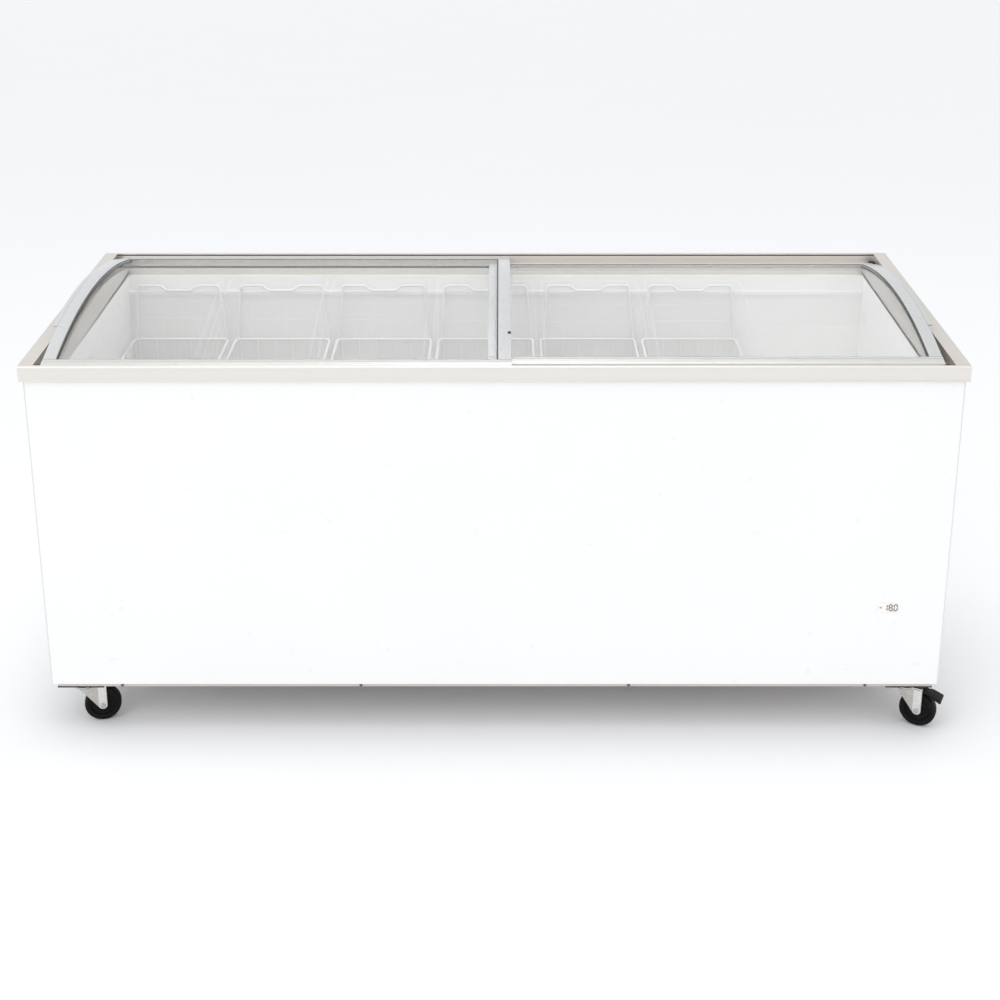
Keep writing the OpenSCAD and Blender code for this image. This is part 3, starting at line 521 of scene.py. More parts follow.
def rounded_path(corners: Sequence[Sequence[float]], bend: float, steps: int = 5) -> np.ndarray:
    """A path through corners with each inner corner rounded by a quadratic curve.

    A corner P between A and B becomes (1-t)^2 P1 + 2t(1-t) P + t^2 P2, with P1 and P2 at the
    bend distance along its two arms.

    Args:
        corners: Corner points.
        bend: Distance from a corner at which its curve starts.
        steps: Points on each curve.

    Returns:
        Points of shape (n, 3).
    """
    points = np.array(corners, float)
    out = [points[:1]]
    t = np.linspace(0, 1, steps)[:, None]
    for before, corner, after in zip(points[:-2], points[1:-1], points[2:]):
        first = corner + (before - corner) * min(bend / np.linalg.norm(before - corner), 0.49)
        second = corner + (after - corner) * min(bend / np.linalg.norm(after - corner), 0.49)
        out.append((1 - t) ** 2 * first + 2 * t * (1 - t) * corner + t**2 * second)
    out.append(points[-1:])
    return np.vstack(out)


def revolve(
    mesh: Mesh, profile: Sequence[tuple[float, float]], centre: Point, axis: Point, sides: int = 48
) -> None:
    """Add a turned shape: a closed (radius, along) profile spun about an axis.

    Point = centre + along * axis + radius (cos a U + sin a V).

    Args:
        mesh: Mesh to add to.
        profile: (radius, along) corners.
        centre: Point on the axis where along is 0.
        axis: Axis direction.
        sides: Steps round the axis.
    """
    way = np.array(axis, float) / np.linalg.norm(axis)
    helper = np.array([0.0, 0.0, 1.0]) if abs(way[2]) < 0.9 else np.array([1.0, 0.0, 0.0])
    u = np.cross(way, helper)
    u /= np.linalg.norm(u)
    v = np.cross(way, u)
    ring = np.array(profile, float)
    angle = np.linspace(0, 2 * np.pi, sides, endpoint=False)
    out = np.cos(angle)[:, None] * u + np.sin(angle)[:, None] * v
    points = np.array(centre) + ring[None, :, 1:2] * way + ring[None, :, 0:1] * out[:, None]
    mesh.grid(points, wrap_u=True, wrap_v=True)


def stands_for(piece: bpy.types.Object, node: str) -> None:
    """Let a piece replace a CAD node by hiding the node."""
    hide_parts(node)


# ---------------------------------------------------------------- carried-over pieces


@dataclass(frozen=True)
class CarriedPieces:
    """CAD nodes whose shape is right as it stands, and the finish of each."""

    finishes: tuple[tuple[str, tuple[str, ...]], ...] = (
        ("shell", ("outer_shell", "end_grille", "rear_grille")),
        ("liner", ("inner_liner",)),
        ("rear", ("rear_panel",)),
        ("foam", ("insulation_foam",)),
        ("pan", ("base_pan",)),
        ("screw", ("base_screws",)),
        ("rubber", ("frame_bumpers", "upper_lid_seal", "lower_lid_seal", "compressor_grommets")),
        ("window", ("display_window",)),
        ("board", ("display_board",)),
        ("black_paint", ("compressor",)),
        ("plastic", ("start_relay_box", "cord_inlet", "fan_blade")),
        ("fins", ("condenser_coil",)),
        ("zinc", ("fan_bracket",)),
        # castor plates near-black as painted shade for the shadow under the cabinet; the lock barrel shares
        # the finish
        ("black_zinc_and_painted_shade", ("lid_lock_barrel", "castor_plates")),
        ("motor", ("fan_motor",)),
        ("copper", ("filter_drier", "refrigerant_pipe", "evaporator_tube")),
        ("ivory", ("drain_spout", "drain_plug")),
    )

    def dress_all(self) -> None:
        """Dress every node in the list."""
        for key, nodes in self.finishes:
            dress(key, *nodes)


# ---------------------------------------------------------------- top frame and lids


@dataclass(frozen=True)
class TopShape:
    """The shared lines of the top: the sloping frame, the tracks and the lids' arc, in millimetres."""

    half_length: float = 925.0
    half_depth: float = 322.5
    front_top: float = 793.0
    slope: float = 0.13178
    rail_height: float = 32.0
    upper_track: float = 314.0
    lower_track: float = 290.0
    track_end: float = 266.0
    rail_edge: float = 262.5
    track_x: float = 896.0
    tub_x: float = 858.0
    front_floors: tuple[float, float] = (781.0, 774.0)
    rear_floors: tuple[float, float] = (853.9, 847.3)
    arc_y: float = 114.946
    arc_z: float = -108.549
    lower_radius: float = 983.538
    upper_radius: float = 994.538

    def top(self, y: float) -> float:
        """Height of the frame's straight upper line at a depth."""
        return self.front_top + self.slope * (y + self.half_depth)

    def cut(self, y: float) -> float:
        """Height of the cabinet's cut under the frame at a depth."""
        return self.top(y) - self.rail_height

    def on_arc(self, radius: float, y: np.ndarray | float) -> np.ndarray | float:
        """Height of the lid arc of a radius at a depth: centre height + sqrt(r^2 - (y - centre)^2)."""
        return self.arc_z + np.sqrt(radius**2 - (np.asarray(y) - self.arc_y) ** 2)


@dataclass
class TopFrame:
    """Front, rear and side rails of the satin top frame."""

    shape: TopShape = field(default_factory=TopShape)
    nose: float = 4.2
    fold: float = 0.9
    edge: float = 0.0007
    end_wall: float = 3.0
    bow_drop: float = 11.5
    ledge_drop: float = 24.0

    def front_rail(self) -> bpy.types.Object:
        """The front rail: a rolled nose over a flat face, and two stepped tracks behind it."""
        t = self.shape
        face = -t.half_depth + 1.3
        turn = np.radians(np.linspace(198, 90, 9))
        nose_y = -t.half_depth + self.nose + self.nose * np.cos(turn)
        nose_z = t.front_top - self.nose + self.nose * np.sin(turn)
        lip = [(-t.upper_track, t.cut(-t.upper_track)), (-t.upper_track, t.front_top)]
        lip += list(zip(nose_y[::-1], nose_z[::-1]))
        foot, out = t.cut(face), face - self.fold
        lip += [(face, t.front_top - 2 * self.nose), (face, foot + 3.0), (out, foot + 2.4), (out, foot)]
        made = Mesh()
        prism_x(made, lip, -t.half_length, t.half_length)
        upper, lower = t.front_floors
        track = [
            (-t.upper_track, t.cut(-t.upper_track)),
            (-t.rail_edge, t.cut(-t.rail_edge)),
            (-t.rail_edge, lower + 8),
            (-t.track_end, lower + 8),
            (-t.track_end, lower),
            (-t.lower_track, lower),
            (-t.lower_track, upper),
            (-t.upper_track, upper),
        ]
        prism_x(made, track, -t.track_x, t.track_x)
        return made.build("front_rail_skin", "cabinet", "frame_x", bevel=self.edge)

    def rear_rail(self) -> bpy.types.Object:
        """The rear rail: an upstand with a slot along its inner face, and two stepped tracks."""
        t = self.shape
        high = t.top(t.half_depth)
        lip = [
            (t.upper_track, t.cut(t.upper_track)),
            (t.half_depth, t.cut(t.half_depth)),
            (t.half_depth, high - 2.0),
            (t.half_depth - 2.0, high),
            (t.upper_track, high),
            (t.upper_track, high - 4.0),
            (t.upper_track + 2.2, high - 4.0),
            (t.upper_track + 2.2, high - 6.6),
            (t.upper_track, high - 6.6),
        ]
        made = Mesh()
        prism_x(made, lip, -t.half_length, t.half_length)
        upper, lower = t.rear_floors
        track = [
            (t.rail_edge, t.cut(t.rail_edge)),
            (t.upper_track, t.cut(t.upper_track)),
            (t.upper_track, upper),
            (t.lower_track, upper),
            (t.lower_track, lower),
            (t.track_end, lower),
            (t.track_end, lower + 5),
            (t.rail_edge, lower + 5),
        ]
        prism_x(made, track, -t.track_x, t.track_x)
        return made.build("rear_rail_skin", "cabinet", "frame_x", bevel=self.edge)

    def shade_strips(self) -> None:
        """Black strips in the rear rail's slot and along the step between the rear tracks, as painted shade
        for the shadow in these gaps.
        """
        t = self.shape
        high = t.top(t.half_depth)
        upper, lower = t.rear_floors
        # black strips: painted shade in the slot and at the step
        strips = Mesh()
        for y0, z0, y1, z1 in (
            (t.upper_track + 0.6, high - 6.4, t.upper_track + 2.0, high - 4.2),
            (t.lower_track - 1.2, lower + 0.4, t.lower_track - 0.2, upper - 0.6),
        ):
            prism_x(strips, [(y0, z0), (y1, z0), (y1, z1), (y0, z1)], -t.track_x, t.track_x)
        strips.build("rear_painted_shade_strips", "cabinet", "rubber", smooth=False)

    def side_rail(self, side: Side) -> bpy.types.Object:
        """A side rail: the sloping ridge, the ledge beside the tub and the bowed end wall.

        Args:
            side: Which end of the freezer.

        Returns:
            The new piece.
        """
        t, s = self.shape, side.value
        u, e = t.upper_track, t.rail_edge
        made = Mesh()
        ridge = [(-u, t.cut(-u)), (u, t.cut(u)), (u, t.top(u)), (-u, t.top(-u))]
        prism_x(made, ridge, s * t.track_x, s * t.half_length)
        drop = self.ledge_drop
        ledge = [(-e, t.cut(-e)), (e, t.cut(e)), (e, t.top(e) - drop), (-e, t.top(-e) - drop)]
        prism_x(made, ledge, s * t.tub_x, s * t.track_x)
        y = np.linspace(-e, e, 49)
        bow = list(zip(y[::-1], t.on_arc(t.lower_radius - self.bow_drop, y[::-1])))
        wall = [(-e, t.cut(-e)), (e, t.cut(e))] + bow
        prism_x(made, wall, s * t.tub_x, s * (t.tub_x + self.end_wall))
        name = "right_side_rail_skin" if side is Side.HIGH else "left_side_rail_skin"
        return made.build(name, "cabinet", "frame_y", bevel=self.edge)

    def build(self) -> None:
        """Build the four rails and the black painted-shade strips, and let the rails stand for their CAD
        nodes.
        """
        pairs = (
            (self.front_rail(), "front_rail"),
            (self.rear_rail(), "rear_rail"),
            (self.side_rail(Side.LOW), "left_side_rail"),
            (self.side_rail(Side.HIGH), "right_side_rail"),
        )
        for made, node in pairs:
            stands_for(made, node)
        self.shade_strips()


@dataclass
class SlidingLid:
    """A bowed glass lid: curved glass, two track bars, an end frame with a grip flange, a middle frame.

    Radii are measured about the lids' common centre line; x0 and x1 are the lid's span.
    """

    name: str
    radius: float
    x0: float
    x1: float
    track: float
    floors: tuple[float, float]
    outer: Side
    shape: TopShape = field(default_factory=TopShape)
    thick: float = 9.0
    glass_thick: float = 4.0
    glass_inset: float = 9.0
    bar_width: float = 21.0
    end_width: float = 26.0
    middle_width: float = 27.0
    grip: float = 9.0
    grip_front: float = 104.0
    steps: int = 72

    def bar_inner(self) -> float:
        """Distance of a bar's inner edge from the middle plane."""
        return self.track - 1.5 - self.bar_width

    def sweep(self, mesh: Mesh, section: Sequence[tuple[float, float]], y0: float, y1: float) -> None:
        """Carry a closed (x, radius) section along the arc.

        Point = (x, centre_y + r sin a, centre_z + r cos a), with a from the section's middle
        radius at y0 to the same at y1.

        Args:
            mesh: Mesh to add to.
            section: Corners of the section in order.
            y0: Front end.
            y1: Rear end.
        """
        t = self.shape
        ring = np.array(section, float)
        middle = ring[:, 1].mean()
        a = np.linspace(np.arcsin((y0 - t.arc_y) / middle), np.arcsin((y1 - t.arc_y) / middle), self.steps)
        x = np.broadcast_to(ring[None, :, 0], (self.steps, len(ring)))
        y = t.arc_y + ring[None, :, 1] * np.sin(a)[:, None]
        z = t.arc_z + ring[None, :, 1] * np.cos(a)[:, None]
        capped(mesh, np.stack([x, y, z], -1))

    def crowned(self, x0: float, x1: float, round_edge: float = 2.2) -> list[tuple[float, float]]:
        """Section of a cross frame: flat below, its two upper edges rounded.

        Args:
            x0: Left edge.
            x1: Right edge.
            round_edge: Radius of the upper edges.

        Returns:
            Corners of the section as (x, radius).
        """
        low, high, r = self.radius - self.thick, self.radius, round_edge
        turn = np.linspace(0, np.pi / 2, 5)
        left = [(x0 + r - r * np.cos(a), high - r + r * np.sin(a)) for a in turn]
        right = [(x1 - r + r * np.sin(a), high - r + r * np.cos(a)) for a in turn]
        return [(x0, low)] + left + right + [(x1, low)]

    def glass(self) -> bpy.types.Object:
        """The curved sheet of glass."""
        low = self.radius - (self.thick + self.glass_thick) / 2
        high = low + self.glass_thick
        x0, x1 = self.x0 + self.glass_inset, self.x1 - self.glass_inset
        reach = self.track - self.bar_width + 4
        made = Mesh()
        self.sweep(made, [(x0, low), (x0, high), (x1, high), (x1, low)], -reach, reach)
        return made.build(f"{self.name}_glass_sheet", self.name, "glass")

    def bar(self, side: Side) -> bpy.types.Object:
        """A bar that runs in its track, its top following the arc, with a groove along the top.

        Args:
            side: Front or rear.

        Returns:
            The new piece.
        """
        t = self.shape
        floor = self.floors[0 if side is Side.LOW else 1] + 0.3
        inner, outer = self.bar_inner(), self.bar_inner() + self.bar_width
        groove = (inner + 6.0, inner + 7.6)
        y = [inner, inner + 2.5, groove[0], groove[0], groove[1], groove[1], outer - 3.0, outer - 0.8, outer]
        drop = [1.0, 0.0, 0.0, 1.1, 1.1, 0.0, 0.0, 0.6, 2.2]
        y = np.array(y) * side.value
        z = t.on_arc(self.radius, y) - np.array(drop)
        outline = [(y[0], floor)] + list(zip(y, z)) + [(y[-1], floor)]
        made = Mesh()
        prism_x(made, outline, self.x0, self.x1)
        end = "front" if side is Side.LOW else "rear"
        return made.build(f"{self.name}_{end}_bar_skin", self.name, "lid_x", bevel=0.0004)

    def gaskets(self) -> None:
        """Thin dark glazing gaskets between the glass and the frame, all the way round."""
        surface = self.radius - (self.thick - self.glass_thick) / 2
        inner = self.bar_inner()
        ends = self.frame_spans()
        made = Mesh()
        for (a, b), way in ((ends[0], 1), (ends[1], -1)):
            x = b if way > 0 else a
            upper = [(0.0, 0.0), (0.0, 1.3), (1.6, 0.9), (2.6, 0.0)]
            lower = [(0.0, 0.0), (0.0, 2.4), (2.4, 2.4), (2.4, 1.2)]
            for lip, base in ((upper, surface), (lower, self.radius - self.thick)):
                self.sweep(made, [(x + way * out, base + up) for out, up in lip], -inner, inner)
        t = self.shape
        for side in Side:
            y = side.value * np.array([inner, inner, inner - 2.6])
            z = t.on_arc(surface, y) + np.array([0.0, 1.3, 0.0])
            prism_x(made, list(zip(y, z)), ends[0][1], ends[1][0])
        made.build(f"{self.name}_glazing_gasket", self.name, "gasket")

    def frame_spans(self) -> tuple[tuple[float, float], tuple[float, float]]:
        """Left and right edges of the left and the right cross frame."""
        left = self.end_width if self.outer is Side.LOW else self.middle_width
        right = self.middle_width if self.outer is Side.LOW else self.end_width
        return (self.x0, self.x0 + left), (self.x1 - right, self.x1)

    def cross_frames(self) -> list[tuple[bpy.types.Object, str]]:
        """The end frame with its grip flange, and the middle frame.

        Returns:
            The two pieces, each with the CAD node that it stands for.
        """
        reach = self.bar_inner() - 0.05
        spans = self.frame_spans()
        low_end = self.outer is Side.LOW
        end, middle = (spans[0], spans[1]) if low_end else (spans[1], spans[0])
        end_mesh = Mesh()
        self.sweep(end_mesh, self.crowned(*end), -reach, reach)
        edge = end[0] if low_end else end[1]
        out = edge + self.outer.value * self.grip
        r = self.radius
        flange = [(edge, r - 4), (edge, r - 1), (out - self.outer.value, r - 1), (out, r - 1.8), (out, r - 4)]
        self.sweep(end_mesh, flange, -reach + self.grip_front, reach)
        middle_mesh = Mesh()
        self.sweep(middle_mesh, self.crowned(*middle), -reach, reach)
        names = (f"{self.name}_end_frame", f"{self.name}_middle_frame")
        return [
            (mesh.build(f"{name}_skin", self.name, "lid_y"), name)
            for mesh, name in zip((end_mesh, middle_mesh), names)
        ]

    def build(self) -> None:
        """Build the lid and let its pieces stand for their CAD nodes."""
        stands_for(self.glass(), f"{self.name}_glass")
        pairs = self.cross_frames()
        pairs.append((self.bar(Side.LOW), f"{self.name}_front_bar"))
        pairs.append((self.bar(Side.HIGH), f"{self.name}_rear_bar"))
        for made, node in pairs:
            stands_for(made, node)
        self.gaskets()


# ---------------------------------------------------------------- wire baskets


@dataclass
class WireBasket:
    """A hanging basket of coated wire: rim, loops that dip in the middle, hooks and a welded mesh.

    Sizes are in millimetres. The rim and ledge slope up to the rear with the top of the cabinet.
    """

    number: int
    centre_x: float
    half_width: float = 108.3
    half_depth: float = 240.0
    tub_half_depth: float = 255.5
    floor_z: float = 425.5
    ledge_front: float = 734.0
    slope: float = 0.1318
    rim_drop: float = 112.0
    rim_bar: float = 3.0
    mesh_bar: float = 1.5
    cell: float = 37.0
    first_wire: float = 8.0
    wire_bend: float = 7.0
    row_lift: float = 2.4
    levels: int = 5
    corner: float = 12.0

    def ledge(self, y: np.ndarray | float) -> np.ndarray | float:
        """Height of the ledge at a depth: a straight line rising to the rear."""
        return self.ledge_front + self.slope * (np.asarray(y) + self.tub_half_depth)

    def rim(self, y: np.ndarray | float) -> np.ndarray | float:
        """Height of the rim at a depth, a fixed drop under the ledge."""
        return self.ledge(y) - self.rim_drop

    def rim_path(self, grow: float) -> np.ndarray:
        """A closed rounded rectangle at rim height.

        Args:
            grow: How far it stands outside the mesh.

        Returns:
            Points round the rim, first point not repeated.
        """
        across, deep = self.half_width + grow, self.half_depth
        turn = np.linspace(0, np.pi / 2, 6)
        quarters = []
        for k, (sx, sy) in enumerate(((1, 1), (-1, 1), (-1, -1), (1, -1))):
            angle = turn + k * np.pi / 2
            quarters.append(
                np.column_stack(
                    [
                        sx * (across - self.corner) + self.corner * np.cos(angle),
                        sy * (deep - self.corner) + self.corner * np.sin(angle),
                    ]
                )
            )
        flat = np.vstack(quarters)
        return np.column_stack([flat[:, 0] + self.centre_x, flat[:, 1], self.rim(flat[:, 1])])

    def add_loop(self, mesh: Mesh, side: Side) -> None:
        """Add the hanging loop and its two hooks at the front or the rear."""
        y = side.value * (self.half_depth + 1.5)
        top = float(self.ledge(side.value * self.tub_half_depth)) + 15.5
        low = float(self.rim(y)) + self.rim_bar + 0.5
        half = [(106.0, low), (94.5, top), (41.0, top), (31.0, top - 12.0)]
        line = [(-x, z) for x, z in half] + [(x, z) for x, z in half[::-1]]
        corners = [(self.centre_x + x, y, z) for x, z in line]
        tube(mesh, rounded_path(corners, 9.0), self.rim_bar, 10)
        hook_z = top - 12.8
        for sign in (-1, 1):
            x = self.centre_x + sign * 94.8
            line = [(0.0, top - 2.0), (5.0, hook_z + 6), (12.6, hook_z)]
            hook = [(x, y + side.value * out, z) for out, z in line]
            tube(mesh, rounded_path(hook, 5.0), self.rim_bar - 0.6, 8)

    def add_mesh(self, mesh: Mesh) -> None:
        """Add the wires: uprights that turn under the floor, and rings round the walls."""
        across, deep = self.half_width, self.half_depth
        c = self.centre_x
        inset = self.first_wire
        columns = np.linspace(-across + inset, across - inset, round(2 * across / self.cell))
        spans = [((c + x, -deep), (c + x, deep), self.floor_z) for x in columns]
        rows = np.linspace(-deep + inset, deep - inset, round(2 * deep / self.cell))
        spans += [((c - across, y), (c + across, y), self.floor_z + self.row_lift) for y in rows]
        for (x0, y0), (x1, y1), floor in spans:
            path = [(x0, y0, self.rim(y0)), (x0, y0, floor), (x1, y1, floor), (x1, y1, self.rim(y1))]
            tube(mesh, rounded_path(path, self.wire_bend, 4), self.mesh_bar, 6)
        for level in np.arange(1, self.levels) / self.levels:
            ring = self.rim_path(-self.mesh_bar - 0.6)
            ring[:, 2] = self.floor_z + level * (ring[:, 2] - self.floor_z)
            closed_tube(mesh, ring, self.mesh_bar, 6)

    def build(self) -> None:
        """Build the basket and let it stand for its CAD node."""
        name = f"basket_{self.number}"
        wires = Mesh()
        self.add_mesh(wires)
        mesh_piece = wires.build(f"{name}_mesh", name, "wire")
        frame_bars = Mesh()
        closed_tube(frame_bars, self.rim_path(2.0), self.rim_bar, 10)
        for side in Side:
            self.add_loop(frame_bars, side)
        frame_piece = frame_bars.build(f"{name}_frame", name, "wire")
        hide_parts(name)


# ---------------------------------------------------------------- castors


@dataclass
class Castor:
    """A swivel castor under one corner: pressed fork, dished wheel, and a brake pedal on one of them.

    Sizes are in millimetres in the castor's own frame: X along the trail, Z up from the floor.
    """

    key: str
    corner_x: float
    corner_y: float
    turn_degrees: float
    braked: bool = False
    trail: float = 32.0
    wheel_radius: float = 37.5
    head_z: float = 86.0
    head_top: float = 89.7
    head_radius: float = 27.0
    cheek: float = 13.5
    eye: float = 9.0

    def placed(self, mesh: Mesh) -> Mesh:
        """Turn a castor's points about its swivel axis and move them to its corner.

        (x, y) becomes corner + (x cos t - y sin t, x sin t + y cos t).
        """
        t = math.radians(self.turn_degrees)
        spin = np.array([[math.cos(t), math.sin(t), 0], [-math.sin(t), math.cos(t), 0], [0, 0, 1]])
        mesh.points = [p @ spin + np.array([self.corner_x, self.corner_y, 0.0]) for p in mesh.points]
        return mesh

    def plate_y(self, mesh: Mesh, outline: Sequence[tuple[float, float]], y0: float, y1: float) -> None:
        """Add a closed plate: an outline of (x, z) corners carried from y0 to y1."""
        x, z = np.array(outline, float).T
        loft(mesh, *(np.column_stack([x, np.full(len(x), y), z]) for y in (y0, y1)))

    def fork(self) -> None:
        """Pressed fork: a dished head, two cheeks with a raised leg, and the axle bolt with its nut.

        The dish and the recessed webs are pieces of their own, painted darker than the legs as painted shade:
        the webs for their pressed recess, the dish for the gap under the plate.
        """
        r, top, low = self.head_radius, self.head_top, self.head_z
        made, shaded_zinc, dark = Mesh(), Mesh(), Mesh()
        # swivel dish in near-black zinc, painted shade for the gap under the plate
        dish = [(8.0, low - 0.2), (r - 5, low - 1.8), (r - 1.6, low - 0.6), (r - 0.8, low + 1.0)]
        dish += [(8.0, low + 1.0)]
        revolve(dark, dish, (0.0, 0.0, 0.0), (0.0, 0.0, 1.0))
        rim = [(6.2, low + 0.9), (r - 0.6, low + 0.9), (r, low + 1.6), (r - 0.6, top - 0.6)]
        rim += [(r - 3, top), (6.2, top)]
        revolve(made, rim, (0.0, 0.0, 0.0), (0.0, 0.0, 1.0))
        z, x = self.wheel_radius, self.trail
        turn = np.radians(np.linspace(0, -142, 12))
        foot = list(zip(x + self.eye * np.cos(turn), z + self.eye * np.sin(turn)))
        web = [(-14.0, low + 0.5), (-14.0, low - 3.0)] + foot[::-1] + [(x + self.eye, low + 0.5)]
        around = np.radians(np.linspace(0, -180, 14))
        round_foot = list(zip(x + 0.92 * self.eye * np.cos(around), z + 0.92 * self.eye * np.sin(around)))
        leg = [(x - 0.92 * self.eye, low - 1.0)] + round_foot[::-1] + [(x + 0.92 * self.eye, low - 1.0)]
        # webs and bolts take the darker zinc, painted shade of the recess
        for way in (-1, 1):
            self.plate_y(shaded_zinc, web, way * self.cheek, way * (self.cheek + 1.8))
            self.plate_y(made, leg, way * (self.cheek + 1.7), way * (self.cheek + 3.6))
            bolt = [(0.01, 16.5), (5.4, 16.5), (5.4, 19.0), (4.6, 19.8), (0.01, 20.0)]
            revolve(shaded_zinc, bolt, (x, 0.0, z), (0.0, float(way), 0.0), 6 if way > 0 else 24)
        tie = [(-14.0, low), (-14.0, low + 2.4), (x + self.eye, low + 2.4), (x + self.eye, low)]
        self.plate_y(made, tie, -self.cheek - 1.8, self.cheek + 1.8)
        body = f"fork_{self.key}"
        parts = (("leg", made, "zinc"), ("web", shaded_zinc, "zinc_shade"), ("dish", dark, "black_zinc_and_painted_shade"))
        for part, mesh, finish in parts:
            piece = self.placed(mesh).build(f"fork_{part}_{self.key}", body, finish, bevel=0.0005)
            stands_for(piece, f"castor_fork_{self.key}")

    def wheel(self) -> None:
        """Wheel turned about its axle: hub, dished web, and a tyre with a crowned tread and a ring groove."""
        half = [(5.4, 13.0), (10.5, 13.0), (11.4, 12.2), (12.6, 7.4), (15.0, 6.4), (23.0, 6.0), (24.6, 7.0)]
        half += [(25.4, 10.8), (26.6, 11.8), (29.2, 11.9), (29.8, 11.2), (30.4, 11.9), (33.6, 11.6)]
        half += [(35.6, 10.6), (36.8, 8.6), (37.4, 5.0), (37.5, 0.0)]
        profile = half + [(r, -a) for r, a in half[-2::-1]]
        made = Mesh()
        revolve(made, profile, (self.trail, 0.0, self.wheel_radius), (0.0, 1.0, 0.0), 72)
        piece = self.placed(made).build(f"wheel_skin_{self.key}", f"wheel_{self.key}", "tyre")
        stands_for(piece, f"castor_wheel_{self.key}")

    def pedal(self) -> None:
        """Brake pedal: a moulded arm with a broad stepped tread."""
        arm = [(11.0, 77.6), (11.0, 83.2), (44.0, 83.4), (62.0, 78.0), (62.0, 71.6), (54.0, 75.2)]
        arm += [(44.0, 77.4)]
        tread = [(52.0, 80.2), (60.0, 79.4), (79.4, 72.4), (80.0, 70.0), (79.0, 65.4), (76.0, 64.6)]
        tread += [(64.0, 71.0)]
        made = Mesh()
        self.plate_y(made, arm, -11.0, 11.0)
        self.plate_y(made, tread, -15.0, 15.0)
        for x in (64.0, 68.0, 72.0, 76.0):
            z = 79.4 - (x - 60.0) * 0.361
            rib = [(x - 0.8, z - 0.6), (x - 0.6, z + 0.7), (x + 0.6, z + 0.3), (x + 0.8, z - 1.2)]
            self.plate_y(made, rib, -12.5, 12.5)
        piece = self.placed(made).build("brake_pedal_skin", "brake_pedal", "plastic", bevel=0.0009)
        stands_for(piece, "castor_brake_pedal")

    def build(self) -> None:
        """Build the fork and wheel, and the pedal where there is one."""
        self.fork()
        self.wheel()
        if self.braked:
            self.pedal()


# ---------------------------------------------------------------- cabinet edges


@dataclass(frozen=True)
class PanelEdges:
    """Folded edges of the front panel: a slim rounded return down each corner, coloured grey as painted shade
    where the corner turns from the light.
    """

    half_length: float = 918.0
    front_y: float = -315.5
    low: float = 103.0
    high: float = 758.0
    width: float = 2.6

    def build(self) -> None:
        """Carry a small bowed section up each corner; it stands 0.5 mm proud of the panel."""
        made = Mesh()
        turn = np.linspace(0, np.pi, 7)
        for way in (-1, 1):
            x = way * (self.half_length - self.width / 2) + self.width / 2 * np.cos(turn)
            y = self.front_y + 0.1 - 0.6 * np.sin(turn)
            rows = [np.column_stack([x, y, np.full(7, z)]) for z in (self.low, self.high)]
            made.grid(np.stack(rows), wrap_v=True)
        # grey edge finish: painted shade of the turning corner
        made.build("front_panel_edges", "cabinet", "edge")


# ---------------------------------------------------------------- display


class Segment(Enum):
    """The seven bars of a digit: middle of each as fractions of its width and height, and its way."""

    TOP = (0.5, 1.0, True)
    MIDDLE = (0.5, 0.5, True)
    BOTTOM = (0.5, 0.0, True)
    UPPER_LEFT = (0.0, 0.75, False)
    UPPER_RIGHT = (1.0, 0.75, False)
    LOWER_LEFT = (0.0, 0.25, False)
    LOWER_RIGHT = (1.0, 0.25, False)


S = Segment
GLYPHS = {
    "-": (S.MIDDLE,),
    "0": (S.TOP, S.BOTTOM, S.UPPER_LEFT, S.UPPER_RIGHT, S.LOWER_LEFT, S.LOWER_RIGHT),
    "1": (S.UPPER_RIGHT, S.LOWER_RIGHT),
    "8": tuple(S),
}


@dataclass
class TemperatureDisplay:
    """Seven-segment temperature behind a pale window, with a slim bezel round it."""

    text: str = "-180"
    centre_x: float = 802.0
    centre_z: float = 277.0
    front_y: float = -316.5
    digit_width: float = 6.0
    digit_height: float = 13.6
    pitch: float = 10.2
    bar: float = 2.5
    raised: float = 0.15

    def stroke(self, mesh: Mesh, x: float, z: float, length: float, flat: bool) -> None:
        """Add one six-cornered bar with pointed ends, centred at (x, z) on the window."""
        h, b = length / 2, self.bar / 2
        shape = np.array([(-h, 0), (-h + b, b), (h - b, b), (h, 0), (h - b, -b), (-h + b, -b)])
        if not flat:
            shape = shape[:, ::-1]
        depths = (self.front_y, self.front_y - self.raised)
        loft(mesh, *(np.column_stack([x + shape[:, 0], np.full(6, y), z + shape[:, 1]]) for y in depths))

    def digits(self) -> None:
        """Build the lit digits and the decimal point before the last one."""
        made = Mesh()
        start = self.centre_x - self.pitch * (len(self.text) - 1) / 2
        for i, glyph in enumerate(self.text):
            left = start + i * self.pitch - self.digit_width / 2
            low = self.centre_z - self.digit_height / 2
            for segment in GLYPHS[glyph]:
                fx, fz, flat = segment.value
                length = (self.digit_width if flat else self.digit_height / 2) - 0.5
                self.stroke(made, left + fx * self.digit_width, low + fz * self.digit_height, length, flat)
        dot = start + (len(self.text) - 1.5) * self.pitch
        self.stroke(made, dot, self.centre_z - self.digit_height / 2, self.bar * 1.02, True)
        made.build("display_digits", "cabinet", "digit", smooth=False)

    def bezel(self) -> None:
        """A slim frame round the window, its outline a rounded rectangle carried outwards in steps."""
        turn = np.linspace(0, 2 * np.pi, 64, endpoint=False)
        c, w = np.cos(turn), np.sin(turn)
        power = 0.22
        shape = np.column_stack([np.sign(c) * np.abs(c) ** power, np.sign(w) * np.abs(w) ** power])
        steps = [(22.1, 11.1, -315.5), (22.1, 11.1, -316.45), (22.7, 11.7, -316.7), (25.0, 14.0, -316.7)]
        steps += [(25.9, 14.9, -316.2), (26.0, 15.0, -315.5)]
        x, z = shape.T
        rows = [
            np.column_stack([self.centre_x + a * x, np.full(len(x), y), self.centre_z + b * z])
            for a, b, y in steps
        ]
        made = Mesh()
        made.grid(np.stack(rows), wrap_u=True, wrap_v=True)
        piece = made.build("display_bezel_skin", "cabinet", "shell")
        stands_for(piece, "display_bezel")


# ---------------------------------------------------------------- studio


